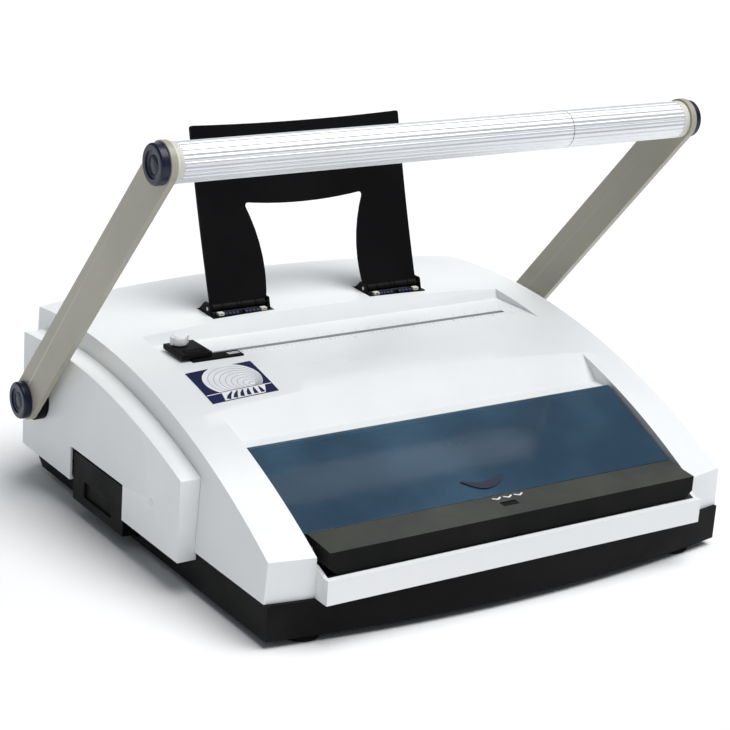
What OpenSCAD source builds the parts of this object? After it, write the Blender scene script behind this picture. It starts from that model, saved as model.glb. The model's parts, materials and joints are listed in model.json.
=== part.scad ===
// Wire-comb binding machine: a desk punch with a closer for double-loop wire.
// X runs across the machine, Y runs from front to back, Z is up.
// Heights count from the desk. Depths named *_y count from the front of the side rails.

/* [Body] */
// Width of the white body at its skirt
body_w = 412; // [360:1:500]
// Depth of the white body at its side walls
body_d = 360; // [350:1:430]
// Height of the rails at the front
rail_front_z = 63.6; // [58:0.2:70]
// Height of the arch's top above the desk
arch_top_z = 139; // [134:0.5:150]
// Rise of the top across its width
crown = 7; // [4:0.5:10]
// Width of each side rail
rail_w = 36; // [28:1:44]
// How far the front bulges forward at its middle
front_bow = 18; // [8:1:26]
// How far the back bulges at its middle
rear_bow = 24; // [10:1:34]
// Wall of the cover and pods
wall = 3; // [2:0.25:3.5]

/* [Base] */
// Height of the skirt, where white meets black
skirt_z = 33; // [30:0.5:38]
// Height of the rubber feet
foot_h = 6; // [4:0.5:9]
// Radius of a rubber foot
foot_r = 15; // [10:0.5:18]

/* [Pods] */
// How far a pod stands out from the body
pod_w = 14; // [12:0.5:20]
// Depth of a pod
pod_d = 254; // [240:1:270]

/* [Handle] */
// Distance from the pivot to the grip's axis
arm_len = 311; // [285:1:330]
// Width of an arm
arm_w = 32; // [28:1:38]
// Thickness of an arm
arm_t = 5; // [3:0.5:7]
// Angle of the arms above the desk
arm_angle = 49.4; // [46:0.2:55]
// Radius of the grip
grip_r = 14.3; // [12:0.1:17]
// Number of flutes around the grip
flutes = 24; // [14:1:30]
// Radius of the drive shaft
shaft_r = 6; // [5:0.25:7]

/* [Punch] */
// Number of punch pins
pins = 34; // [12:1:34]
// Distance from pin to pin
pin_pitch = 8.47; // [8:0.01:8.5]
// Side of a square punch pin
pin_side = 4; // [3:0.1:4.5]
// Width of the paper slot
slot_w = 5; // [4.6:0.1:6]
// Module of the pinion and rack
gear_module = 1.25; // [1:0.05:1.4]
// Teeth on a pinion
pinion_teeth = 17; // [15:1:18]

/* [Lid and press bar] */
// Thickness of the lid's panel
lid_t = 2.5; // [2:0.25:3.5]
// Height of the press bar's front face
bar_h = 17.5; // [14:0.5:19]

/* [Document rest] */
// Width of the rest
rest_w = 197; // [160:1:240]
// Length of the rest from its hinge
rest_len = 143; // [110:1:170]
// Thickness of the rest
rest_t = 2.6; // [2:0.2:4]

/* [Chip drawer] */
// Width of the drawer
drawer_w = 82; // [66:1:92]
// Length of the drawer
drawer_len = 345; // [250:1:370]

/* [Hidden] */

white = [0.93, 0.93, 0.93];
black = [0.06, 0.06, 0.065];
steel = [0.62, 0.63, 0.65];
navy = [0.05, 0.06, 0.14];
khaki = [0.57, 0.56, 0.51];

seat = 0.02;        // gap where a piece rests on another
run_fit = 0.05;     // radial clearance of a turning or sliding shaft
gap = 0.4;          // gap between pieces that pass each other
big = 600;          // longer than anything it cuts
arc_fn = 360;       // steps of the large arcs
round_fn = 48;      // steps of small round parts

// Body shape
half_w = body_w / 2;
flank_draft = 0.05;
arch_top_y = 290;
arch_rise = arch_top_z - rail_front_z;
arch_r = (arch_top_y * arch_top_y + arch_rise * arch_rise) / (2 * arch_rise);
crown_r = (half_w * half_w + crown * crown) / (2 * crown);
recess_half = half_w - rail_w - 1;
bay_half = recess_half;

// Throat, where the sheets go in
slot_y = 215;
shelf_z = arch_top_z - 6;
shelf_rear_y = 246;
shelf_step = 8;
slot_front_y = slot_y - slot_w / 2;
slot_rear_y = slot_y + slot_w / 2;
punch_span = (pins - 1) * pin_pitch;
slot_half = punch_span / 2 + 11;
deck_z = shelf_z - wall - gap;

// Gutter and wire bay
ramp_top_y = 128;
ramp_foot_y = 112;
gutter_z = arch_top_z - 36;
bay_rear_y = 97;
bay_floor_z = 49;

// Base
base_front_y = -3;
base_d = 350;
floor_z = foot_h + wall;
foot_x = half_w - 36;
foot_front_y = 8;
foot_rear_y = 318;
screw_r = 2;
screw_head_r = 3.8;

// Pods
pod_x = half_w + pod_w;
pod_front_y = 94;
pod_rear_y = pod_front_y + pod_d;
pod_drop = 15.5;
pod_bottom_z = skirt_z - 6;
plug_r = 3;
plug_y = 135;
plug_z = 58;

// Handle
pivot_y = 318;
pivot_z = 76;
bush_flange = 7.6;
bush_flange_r = 17;
arm_x = pod_x + bush_flange + gap;
grip_y = pivot_y - arm_len * cos(arm_angle);
grip_z = pivot_z + arm_len * sin(arm_angle);
rod_end_r = 5;
cap_r = grip_r + 0.2;
cap_t = 6.7;
grip_half = arm_x - 6;
grip_split_x = grip_half / 2;
split_gap = 0.6;
grip_wall = 3;

// Frames
frame_x = slot_half + 9;
frame_t = 4;
frame_front_y = 199;
bush_r = 10;
frame_screw_r = 3.5;

// Punch
pin_z = deck_z - 17.5;
stripper_t = 9.5;
die_bottom_z = pin_z - 12;
bar_front_y = slot_rear_y + stripper_t + 9;
punch_bar_d = 14;
punch_bar_h = 20;
rod_r = 4;
rod_x = slot_half + 4.2;
rod_z = pin_z + 8;
bracket_y = 268;
bracket_d = 8;
pitch_r = gear_module * pinion_teeth / 2;
rack_x = slot_half - 3;
rack_t = 6;
rack_pitch_z = pivot_z + pitch_r;
backlash = 0.35;
tooth_tip = 0.95 * gear_module;
tooth_root = 1.25 * gear_module;
base_r = pitch_r * cos(20);
flank_steps = 5;
flank_radii = [
    pitch_r - tooth_root,
    for (k = [0:flank_steps]) base_r + (pitch_r + tooth_tip - base_r) * k / flank_steps
];

// Drawer
drawer_y = 221;
drawer_z = floor_z + 3;
drawer_top_z = 52;
drawer_wall = 2.2;
drawer_front_x = -pod_x + 2;
notch_half = drawer_w / 2 + 1.5;
notch_top_z = drawer_top_z + 2.5;

// Lid
lid_pin_y = bay_rear_y - 3;
lid_pin_z = gutter_z + 0.5;
lid_front_y = 17;
lid_front_z = 68.7;
lid_half = bay_half - 2.5;
lid_pin_r = 1.2;
lid_barrel_r = 2.6;
pin_end_x = bay_half + 2;

// Press bar
bar_half = bay_half - 4.4;
bar_face_y = -15;
bar_base_z = 51.5;
bar_rear_y = 14.5;
bar_rear_rise = 2.5;
pad_half = 7;
pad_front_y = bar_face_y + 13;
pad_rear_y = bar_face_y + 19;
bar_pin_y = 8;
bar_pin_z = 63;
bar_pin_r = 2;
panel_top_z = bar_base_z;
panel_front_y = -21;
panel_half = bay_half;
panel_lip = 4.8;
cheek_t = 3;
cheek_rise = 4.5;
cheek_crest_y = -4;

// Document rest
hinge_y = 270;
hinge_z = arch_top_z + crown + 2.5;
rest_lean = 18;
bracket_z = hinge_z - 5.5;
bracket_top_z = hinge_z - 4;
rest_leg_w = 50;
rest_window_half = rest_w / 2 - 41;
rest_head = 63;
ear_t = 2;
ear_x = rest_leg_w / 2 + 0.4 + ear_t / 2;
bracket_margin = 2.6;
bracket_front = 11;
bracket_rear = 16;
hinge_pin_r = 1.5;
leg_x = rest_w / 2 - rest_leg_w / 2;

// Edge guide
guide_x = -slot_half + 3;
guide_len = 26;

// Chart
chart_x = -recess_half + 1;
chart_w = 55.5;
chart_d = 42;
chart_front_y = ramp_top_y + 14;

y_front = min(panel_front_y, base_front_y - front_bow);
y_back = body_d + rear_bow;
mid_y = (y_front + y_back) / 2;

// Moves a piece drawn from the rail fronts to the machine's own centre
module bench() translate([0, -mid_y, 0]) children();

// Extrudes a YZ outline along X, centred on x
module side_cut(w, x = 0) {
    translate([x - w / 2, 0, 0]) rotate([90, 0, 90]) linear_extrude(w) children();
}

// Extrudes an XZ outline from y0 to y1
module face_cut(y0, y1) {
    translate([0, y1, 0]) rotate([90, 0, 0]) linear_extrude(y1 - y0) children();
}

// A box between two corners
module block(lo, hi) translate(lo) cube(hi - lo);

// A round bar along X from x0 to x1
module bar_x(x0, x1, r, y, z) {
    translate([x0, y, z]) rotate([0, 90, 0]) cylinder(h = x1 - x0, r = r, $fn = round_fn);
}

// A round bar along Y from y0 to y1
module bar_y(y0, y1, r, x, z) {
    translate([x, y1, z]) rotate([90, 0, 0]) cylinder(h = y1 - y0, r = r, $fn = round_fn);
}

// Both hands of a shape drawn for +X
module both_sides() {
    children();
    mirror([1, 0, 0]) children();
}

// Half width of the body's flank at height z
function flank(z) = half_w - flank_draft * (z - skirt_z);

// Height of the arch on the middle line at depth y, sunk by s
function arch_z(y, s = 0) =
    arch_top_z - arch_r + sqrt(pow(arch_r + crown - s, 2) - pow(y - arch_top_y, 2));

// Plan of the body, pulled in all round by inset
module body_plan(inset, y0, y1) {
    w = half_w - inset;
    front_r = (half_w * half_w + front_bow * front_bow) / (2 * front_bow);
    rear_r = (half_w * half_w + rear_bow * rear_bow) / (2 * rear_bow);
    intersection() {
        translate([-w, y0 - front_bow]) square([2 * w, y1 + rear_bow - y0 + front_bow]);
        translate([0, y0 - front_bow + front_r]) circle(r = front_r - inset, $fn = arc_fn);
        translate([0, y1 + rear_bow - rear_r]) circle(r = rear_r - inset, $fn = arc_fn);
    }
}

// Solid under the crowned arch, sunk by s
module arch(s) {
    translate([0, arch_top_y, arch_top_z - arch_r]) rotate([0, 90, 0])
        rotate_extrude($fn = arc_fn) intersection() {
            translate([arch_r + crown - crown_r, 0]) circle(r = crown_r - s, $fn = 4 * arc_fn);
            translate([0, -half_w]) square([arch_r + crown + 1, body_w]);
        }
}

// The body as one solid, every wall pulled in by inset and left open below
module body_block(inset) {
    z0 = skirt_z - (inset > 0 ? 2 : 0);
    z1 = arch_top_z + crown + 2;
    intersection() {
        arch(inset);
        translate([0, 0, z0]) linear_extrude(z1 - z0) body_plan(inset, 0, body_d);
        face_cut(-front_bow - 1, body_d + rear_bow + 1) polygon([
            [-flank(z0) + inset, z0], [flank(z0) - inset, z0],
            [flank(z1) - inset, z1], [-flank(z1) + inset, z1]
        ]);
    }
}

// What is cut out between the rails, grown by g
module recess(g) {
    top = arch_top_z + crown + 20;
    side_cut(2 * (recess_half + g)) polygon([
        [-big, shelf_z - g], [shelf_rear_y + g, shelf_z - g],
        [shelf_rear_y + shelf_step + g, shelf_z + 12 - g],
        [shelf_rear_y + shelf_step + 10 + g, top], [-big, top]
    ]);
    side_cut(2 * (recess_half + g)) polygon([
        [-big, gutter_z - g], [ramp_foot_y + g, gutter_z - g],
        [ramp_top_y + g, arch_z(ramp_top_y) - crown - g],
        [ramp_top_y + 20 + g, arch_z(ramp_top_y) + 12 - g], [-big, arch_z(ramp_top_y) + 12 - g]
    ]);
    block([-bay_half - g, -big, 0], [bay_half + g, bay_rear_y + g, top]);
}

// The notch that the drawer comes out through, in the left wall
module drawer_notch(x0, x1) {
    block([x0, drawer_y - notch_half, floor_z + 1], [x1, drawer_y + notch_half, notch_top_z]);
}

module top_cover() {
    color(white) bench() difference() {
        body_block(0);
        recess(0);
        difference() {
            body_block(wall);
            recess(wall);
        }
        block([-slot_half, slot_front_y, 0], [slot_half, slot_rear_y, big]);
        bar_x(-big, big, bush_r + 2 + seat, pivot_y, pivot_z);
        drawer_notch(-big, -half_w + 4 * wall);
        both_sides() bracket_foot(0.2, bracket_z, big);
        both_sides() bar_x(bay_half - 1, bay_half + wall + 1, bar_pin_r + seat, bar_pin_y, bar_pin_z);
        both_sides() bar_x(bay_half - 1, bay_half + wall + 1, lid_pin_r + seat, lid_pin_y, lid_pin_z);
    }
}

module pod_block(inset) {
    intersection() {
        translate([0, arch_top_y, arch_top_z - arch_r]) rotate([0, 90, 0])
            cylinder(h = pod_x - inset, r = arch_r - pod_drop - inset, $fn = arc_fn);
        block([half_w - 20, pod_front_y + inset, pod_bottom_z + inset],
              [pod_x - inset, pod_rear_y - inset, big]);
    }
}

// The right pod's shell. The left one is its mirror image with a notch.
module pod_shell() {
    difference() {
        pod_block(0);
        pod_block(wall - 0.5);
        body_block(0);
        base_block(0);
        bar_x(0, big, bush_r + 2 + seat, pivot_y, pivot_z);
        bar_x(0, big, plug_r, plug_y, plug_z);
    }
}

module right_pod() color(white) bench() pod_shell();

module left_pod() {
    color(white) bench() difference() {
        mirror([1, 0, 0]) pod_shell();
        drawer_notch(-big, -half_w + 4 * wall);
    }
}

module pod_plugs() {
    color(white) bench() both_sides() bar_x(pod_x - wall, pod_x + 0.3, plug_r - seat, plug_y, plug_z);
}

// The base as one solid, pulled in by inset, with a back that slopes in below
module base_block(inset) {
    intersection() {
        translate([0, 0, foot_h + inset]) linear_extrude(skirt_z - foot_h - inset + (inset > 0 ? 1 : 0))
            body_plan(inset + 1.2, base_front_y - 1.2, base_d);
        side_cut(body_w) polygon([
            [-big, foot_h], [base_d - 8 - inset, foot_h],
            [base_d + rear_bow - inset, skirt_z + 1], [-big, skirt_z + 1]
        ]);
    }
}

module base_tray() {
    color(black) bench() difference() {
        base_block(0);
        base_block(wall);
        drawer_notch(-big, -half_w + 4 * wall);
        for (sx = [-1, 1], y = [foot_front_y, foot_rear_y])
            translate([sx * foot_x, y, 0]) cylinder(h = big, r = screw_r + 0.3, $fn = round_fn);
    }
}

module rubber_feet() {
    color(black) bench() for (sx = [-1, 1], y = [foot_front_y, foot_rear_y])
        translate([sx * foot_x, y, 0]) difference() {
            cylinder(h = foot_h, r1 = foot_r - 1, r2 = foot_r, $fn = round_fn);
            translate([0, 0, -1]) cylinder(h = 4, r = screw_head_r + 1, $fn = round_fn);
            cylinder(h = big, r = screw_r + 0.3, $fn = round_fn);
        }
}

module base_screws() {
    color(steel) bench() for (sx = [-1, 1], y = [foot_front_y, foot_rear_y])
        translate([sx * foot_x, y, 1]) {
            cylinder(h = 2, r = screw_head_r, $fn = round_fn);
            cylinder(h = foot_h + wall + 4, r = screw_r, $fn = round_fn);
        }
}

// White lip across the front, with a cheek at each end
module front_panel() {
    lip_y = panel_front_y + panel_lip;
    floor_top = skirt_z + 2.5;
    color(white) bench() {
        block([-panel_half, panel_front_y, skirt_z], [panel_half, lip_y, panel_top_z]);
        block([-panel_half, lip_y, skirt_z], [panel_half, bar_rear_y, floor_top]);
        both_sides() side_cut(cheek_t, panel_half - cheek_t / 2) polygon([
            [lip_y, floor_top], [bar_rear_y, floor_top], [bar_rear_y, panel_top_z + cheek_rise],
            [cheek_crest_y, panel_top_z + cheek_rise], [lip_y, panel_top_z - 0.1]
        ]);
    }
}

// Steel side frame, drawn for +X
module frame_plate() {
    difference() {
        side_cut(frame_t, frame_x + frame_t / 2) polygon([
            [frame_front_y, die_bottom_z - 30], [frame_front_y, deck_z], [bracket_y + 16, deck_z],
            [pivot_y + 24, pivot_z + 24], [pivot_y + 24, floor_z + seat],
            [drawer_y + notch_half + 4, floor_z + seat], [drawer_y + notch_half + 4, notch_top_z + 8]
        ]);
        bar_x(0, big, bush_r, pivot_y, pivot_z);
    }
}

module right_frame() color(steel) bench() frame_plate();

module left_frame() color(steel) bench() mirror([1, 0, 0]) frame_plate();

// Cross bar that holds the back ends of the guide rods
module guide_bracket() {
    color(steel) bench() difference() {
        block([-frame_x + seat, bracket_y, rod_z - rod_r - 2],
              [frame_x - seat, bracket_y + bracket_d, rod_z + rod_r + 4]);
        for (sx = [-1, 1]) bar_y(0, big, rod_r, sx * rod_x, rod_z);
    }
}

module frame_bushings() {
    color([0.75, 0.6, 0.3]) bench() both_sides() difference() {
        union() {
            bar_x(frame_x, frame_x + frame_t, bush_r, pivot_y, pivot_z);
            bar_x(frame_x + frame_t, frame_x + frame_t + 2, bush_r + 3, pivot_y, pivot_z);
        }
        bar_x(0, big, shaft_r + run_fit, pivot_y, pivot_z);
    }
}

// Black flanged bushings between the arms and the pods
module pivot_bushings() {
    color(black) bench() both_sides() difference() {
        union() {
            bar_x(half_w - 12, pod_x, bush_r + 2, pivot_y, pivot_z);
            bar_x(pod_x + seat, pod_x + bush_flange, bush_flange_r, pivot_y, pivot_z);
        }
        bar_x(0, big, shaft_r + run_fit, pivot_y, pivot_z);
    }
}

function pin_x(i) = (i - (pins - 1) / 2) * pin_pitch;

// Square holes for the punch pins, from y0 to y1
module pin_holes(y0, y1, slack) {
    s = pin_side / 2 + slack;
    for (i = [0:pins - 1]) block([pin_x(i) - s, y0, pin_z - s], [pin_x(i) + s, y1, pin_z + s]);
}

module die_block() {
    color(steel) bench() difference() {
        block([-frame_x + seat, frame_front_y, die_bottom_z], [frame_x - seat, slot_front_y, deck_z]);
        pin_holes(0, big, 0.15);
        for (sx = [-1, 1]) bar_y(frame_front_y + 4, big, rod_r, sx * rod_x, rod_z);
    }
}

module stripper_plate() {
    color(steel) bench() difference() {
        block([-frame_x + seat, slot_rear_y, die_bottom_z],
              [frame_x - seat, slot_rear_y + stripper_t, deck_z]);
        pin_holes(0, big, 0.2);
        for (sx = [-1, 1]) bar_y(0, big, rod_r, sx * rod_x, rod_z);
    }
}

// Floor and ends of the paper slot
module paper_stop() {
    color(steel) bench() difference() {
        block([-frame_x + seat, slot_front_y, die_bottom_z], [frame_x - seat, slot_rear_y, deck_z]);
        block([-slot_half, 0, pin_z - 5], [slot_half, big, big]);
        for (sx = [-1, 1]) bar_y(0, big, rod_r, sx * rod_x, rod_z);
    }
}

module guide_rods() {
    color([0.8, 0.8, 0.82]) bench() for (sx = [-1, 1])
        bar_y(frame_front_y + 4, bracket_y + bracket_d, rod_r, sx * rod_x, rod_z);
}

// Cap screws that hold the die block and the bracket between the frames
module frame_screws() {
    x0 = frame_x + frame_t + seat;
    color(steel) bench() both_sides() {
        for (z = [die_bottom_z + 4, deck_z - 5])
            bar_x(x0, x0 + 3, frame_screw_r, (frame_front_y + slot_front_y) / 2, z);
        bar_x(x0, x0 + 3, frame_screw_r, bracket_y + bracket_d / 2, rod_z);
    }
}

module punch_bar() {
    color(steel) bench() difference() {
        block([-frame_x + 1, bar_front_y, pin_z - 7],
              [frame_x - 1, bar_front_y + punch_bar_d, pin_z - 7 + punch_bar_h]);
        for (sx = [-1, 1]) bar_y(0, big, rod_r + run_fit, sx * rod_x, rod_z);
    }
}

module punch_pins() {
    s = pin_side / 2;
    color([0.8, 0.8, 0.82]) bench() for (i = [0:pins - 1])
        block([pin_x(i) - s, slot_rear_y + 0.5, pin_z - s], [pin_x(i) + s, bar_front_y, pin_z + s]);
}

// Half the angle that a tooth takes at radius r, for 20 degree involute teeth
function inv(a) = tan(a) * 180 / PI - a;
function flank_angle(r) = let (a = r > base_r ? acos(base_r / r) : 0)
    (PI * gear_module - backlash) / (4 * pitch_r) * 180 / PI + inv(20) - inv(a);
function polar(r, a) = [r * cos(a), r * sin(a)];

module pinion_outline() {
    tooth = [
        for (r = flank_radii) polar(r, -flank_angle(r)),
        for (k = [len(flank_radii) - 1:-1:0]) polar(flank_radii[k], flank_angle(flank_radii[k]))
    ];
    difference() {
        union() {
            circle(r = pitch_r - tooth_root + seat, $fn = round_fn);
            for (i = [0:pinion_teeth - 1]) rotate(90 + i * 360 / pinion_teeth) polygon(tooth);
        }
        circle(r = shaft_r, $fn = round_fn);
    }
}

// The teeth face down onto the pinion. The arm rises forward to the punch bar.
module rack_plate(x) {
    pitch = PI * gear_module;
    half = (pitch - backlash) / 4;
    tip = -tooth_tip;
    slope = tan(20);
    teeth = 6;
    root_z = rack_pitch_z + tooth_root;
    back_z = root_z + 9;
    end = (teeth + 0.75) * pitch;
    color(steel) bench() {
        side_cut(rack_t, x) polygon([
            [pivot_y - end, root_z],
            for (i = [-teeth - 1:teeth]) each [
                [pivot_y + (i + 0.5) * pitch - half - slope * tooth_root, root_z],
                [pivot_y + (i + 0.5) * pitch - half - slope * tip, rack_pitch_z + tip],
                [pivot_y + (i + 0.5) * pitch + half + slope * tip, rack_pitch_z + tip],
                [pivot_y + (i + 0.5) * pitch + half + slope * tooth_root, root_z]
            ],
            [pivot_y + end, root_z], [pivot_y + end, back_z],
            [pivot_y - end, back_z], [bar_front_y + punch_bar_d + seat, pin_z + 6],
            [bar_front_y + punch_bar_d + seat, pin_z - 7]
        ]);
    }
}

module left_rack() rack_plate(-rack_x + rack_t);

module right_rack() rack_plate(rack_x - rack_t);

module pinions() {
    color(steel) bench() for (x = [-rack_x + rack_t, rack_x - rack_t])
        translate([0, pivot_y, pivot_z]) side_cut(rack_t + 2, x) pinion_outline();
}

module drive_shaft() {
    color([0.8, 0.8, 0.82]) bench() bar_x(-arm_x - arm_t, arm_x + arm_t, shaft_r, pivot_y, pivot_z);
}

// Flat arm with round ends, made of a bar and two discs so that its bores stay true
module arm_plate() {
    difference() {
        translate([0, pivot_y, pivot_z]) side_cut(arm_t, arm_x + arm_t / 2) rotate(180 - arm_angle) {
            circle(r = arm_w / 2, $fn = round_fn);
            translate([arm_len, 0]) circle(r = arm_w / 2, $fn = round_fn);
            translate([0, -arm_w / 2]) square([arm_len, arm_w]);
        }
        bar_x(0, big, shaft_r, pivot_y, pivot_z);
        bar_x(0, big, rod_end_r, grip_y, grip_z);
    }
}

module right_arm() color(khaki) bench() arm_plate();

module left_arm() color(khaki) bench() mirror([1, 0, 0]) arm_plate();

module tie_rod() {
    color(steel) bench() bar_x(-arm_x - arm_t, arm_x + arm_t, rod_end_r, grip_y, grip_z);
}

module grip(x0, x1) {
    translate([(x0 + x1) / 2, grip_y, grip_z]) side_cut(x1 - x0) difference() {
        circle(r = grip_r, $fn = 2 * round_fn);
        circle(r = grip_r - grip_wall, $fn = 2 * round_fn);
        for (i = [0:flutes - 1]) rotate((i + 0.5) * 360 / flutes) translate([grip_r + 0.3, 0])
            circle(r = 1.1, $fn = 16);
    }
}

module main_grip() color([0.8, 0.82, 0.84]) bench() grip(-grip_half, grip_split_x);

module short_grip() color([0.8, 0.82, 0.84]) bench() grip(grip_split_x + split_gap, grip_half);

module grip_collars() {
    color([0.86, 0.85, 0.78]) bench() both_sides() difference() {
        union() {
            bar_x(grip_half + seat, arm_x - seat, grip_r + 0.1, grip_y, grip_z);
            bar_x(grip_half - 14, grip_half + seat, grip_r - grip_wall - seat, grip_y, grip_z);
        }
        bar_x(0, big, rod_end_r, grip_y, grip_z);
    }
}

// Hollow round cap with a stepped face, standing on the arm's outer face
module cap(y, z) {
    translate([arm_x + arm_t, y, z]) rotate([0, 90, 0]) rotate_extrude($fn = round_fn) polygon([
        [cap_r - 2, seat], [cap_r, seat], [cap_r, cap_t - 1.5], [cap_r - 1.5, cap_t],
        [cap_r - 4.5, cap_t], [cap_r - 5.2, cap_t - 0.7], [0, cap_t - 0.7],
        [0, cap_t - 2.4], [cap_r - 2, cap_t - 2.4]
    ]);
}

module upper_caps() color(navy) bench() both_sides() cap(grip_y, grip_z);

module pivot_caps() color(navy) bench() both_sides() cap(pivot_y, pivot_z);

module handle_bolts() {
    x0 = arm_x + arm_t + seat;
    color(steel) bench() both_sides() {
        bar_x(x0, x0 + 3.6, 8, grip_y, grip_z);
        bar_x(x0, x0 + 3.6, 8, pivot_y, pivot_z);
    }
}

// Dark trough that lies under the lid
module bay_tray() {
    color([0.12, 0.13, 0.15]) bench() side_cut(2 * bay_half - 1) polygon([
        [20, bay_floor_z], [bay_rear_y - 0.5, bay_floor_z], [bay_rear_y - 0.5, gutter_z - 8],
        [bay_rear_y - 3, gutter_z - 8], [bay_rear_y - 3, bay_floor_z + 2.5], [22.5, bay_floor_z + 2.5],
        [22.5, bay_floor_z + 6], [20, bay_floor_z + 6]
    ]);
}

// Fixed jaw of the wire closer, notched for the loops
module closer_anvil() {
    color(steel) bench() difference() {
        block([-slot_half, 42, bay_floor_z + 2.5 + seat], [slot_half, 48, bay_floor_z + 20]);
        for (i = [0:pins - 1])
            block([pin_x(i) - 1.6, 0, bay_floor_z + 14], [pin_x(i) + 1.6, big, big]);
    }
}

// Strip with one hook for each loop, which holds the wire while sheets are hung on it
module wire_hook_rail() {
    top = gutter_z - 16;
    color([0.3, 0.31, 0.33]) bench() {
        block([-slot_half, bay_rear_y - 5.5, bay_floor_z + 24], [slot_half, bay_rear_y - 3 - seat, top]);
        for (i = [0:pins - 1])
            block([pin_x(i) - 1, bay_rear_y - 14, top - 6], [pin_x(i) + 1, bay_rear_y - 5.5, top - 3]);
    }
}

module lid_pins() {
    color(steel) bench() both_sides() bar_x(lid_half - 8, pin_end_x, lid_pin_r, lid_pin_y, lid_pin_z);
}

// Clear panel with a turned-down front edge, a stiff rim and a round finger notch
module lid() {
    slope = atan((lid_pin_z - lid_front_z) / (lid_pin_y - lid_front_y));
    length = (lid_pin_y - lid_front_y) / cos(slope);
    color([0.2, 0.36, 0.52, 0.6]) bench() difference() {
        translate([0, lid_pin_y, lid_pin_z]) rotate([slope, 0, 0]) union() {
            block([-lid_half, -length, 0], [lid_half, 0, lid_t]);
            rotate([0, 90, 0]) cylinder(h = 2 * lid_half, r = lid_barrel_r, center = true, $fn = round_fn);
            both_sides() block([lid_half - 2.2, -length, -3], [lid_half, -6.5, 0]);
            block([-lid_half, -length, -3], [lid_half, -length + 2.2, 0]);
        }
        bar_x(-big, -lid_half + 10, lid_pin_r + run_fit, lid_pin_y, lid_pin_z);
        bar_x(lid_half - 10, big, lid_pin_r + run_fit, lid_pin_y, lid_pin_z);
    }
}

// Hollow bar across the front, pressed down to close the wire
module press_bar() {
    t = 2.5;
    corner = 8;
    top_z = bar_base_z + bar_h;
    color(black) bench() difference() {
        intersection() {
            side_cut(2 * bar_half) polygon([
                [bar_face_y, bar_base_z], [bar_face_y, top_z], [bar_rear_y, top_z + bar_rear_rise],
                [bar_rear_y, bar_base_z + 4], [0, bar_base_z]
            ]);
            face_cut(bar_face_y - 1, bar_rear_y + 1) polygon([
                [-bar_half, top_z + bar_rear_rise + 1], [-bar_half, bar_base_z + 6],
                [-bar_half + corner, bar_base_z - 1], [bar_half - corner, bar_base_z - 1],
                [bar_half, bar_base_z + 6], [bar_half, top_z + bar_rear_rise + 1]
            ]);
        }
        side_cut(2 * (bar_half - 4)) polygon([
            [bar_face_y + t, bar_base_z - 1], [bar_face_y + t, top_z - t],
            [bar_rear_y - t, top_z - t + bar_rear_rise], [bar_rear_y - t, bar_base_z - 1]
        ]);
        bar_x(-big, big, bar_pin_r + run_fit, bar_pin_y, bar_pin_z);
        block([-pad_half, pad_front_y, 0], [pad_half, pad_rear_y, big]);
    }
}

module press_pad() {
    z = bar_base_z + bar_h;
    pad_rise = bar_rear_rise * (pad_front_y - bar_face_y) / (bar_rear_y - bar_face_y);
    color([0.02, 0.02, 0.02]) bench() {
        block([-pad_half + seat, pad_front_y + seat, z - 2.5],
              [pad_half - seat, pad_rear_y - seat, z + pad_rise]);
    }
}

module press_bar_pins() {
    color([0.35, 0.4, 0.35]) bench() both_sides()
        bar_x(bar_half - 16, pin_end_x, bar_pin_r, bar_pin_y, bar_pin_z);
}

// Small wound springs on the press bar's pins
module press_springs() {
    color([0.7, 0.7, 0.72]) bench() both_sides() for (i = [0:4])
        translate([bar_half - 14 + 1.5 * i, bar_pin_y, bar_pin_z]) rotate([0, 90, 0])
            rotate_extrude($fn = 24) translate([bar_pin_r + 0.8, 0]) circle(r = 0.6, $fn = 16);
}

// Moving jaw of the wire closer, behind the press bar
module closer_jaw() {
    z = bar_base_z + 4.5;
    color(steel) bench() difference() {
        block([-slot_half, bar_rear_y + seat, z], [slot_half, 38, z + 2]);
        for (i = [0:pins - 1]) block([pin_x(i) - 1.6, 33, 0], [pin_x(i) + 1.6, big, big]);
    }
}

// Footprint of a rest bracket, grown by g
module bracket_foot(g, z0, z1) {
    half = rest_leg_w / 2 + bracket_margin + g;
    translate([leg_x, 0, 0]) block(
        [-half, hinge_y - bracket_front - g, z0], [half, hinge_y + bracket_rear + g, z1]);
}

// Hinge brackets of the rest, one under each leg, let into the cover
module rest_brackets() {
    color(black) bench() both_sides() difference() {
        union() {
            bracket_foot(0, bracket_z + seat, bracket_top_z);
            for (sx = [-1, 1]) side_cut(ear_t, leg_x + sx * ear_x) polygon([
                [hinge_y - 6, bracket_top_z - 0.5], [hinge_y + 14, bracket_top_z - 0.5],
                [hinge_y + 5, hinge_z + 4.5], [hinge_y - 3, hinge_z + 4.5]
            ]);
        }
        bar_x(0, big, hinge_pin_r + run_fit, hinge_y, hinge_z);
    }
}

// Pale snap lugs at the front of the brackets
module rest_lugs() {
    color([0.85, 0.85, 0.85]) bench() both_sides() for (sx = [-1, 1])
        translate([leg_x + sx * (rest_leg_w / 2 - 5.5), hinge_y - 7.5, bracket_top_z + seat]) difference() {
            translate([-2.5, -2, 0]) cube([5, 4, 2.4]);
            translate([-1, -3, 0.8]) cube([2, 6, 0.8]);
        }
}

module rest_screws() {
    color(steel) bench() both_sides() for (sx = [-1, 1])
        translate([leg_x + sx * 14, hinge_y + 10, bracket_top_z + seat])
            cylinder(h = 1.2, r = 2.6, $fn = round_fn);
}

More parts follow.
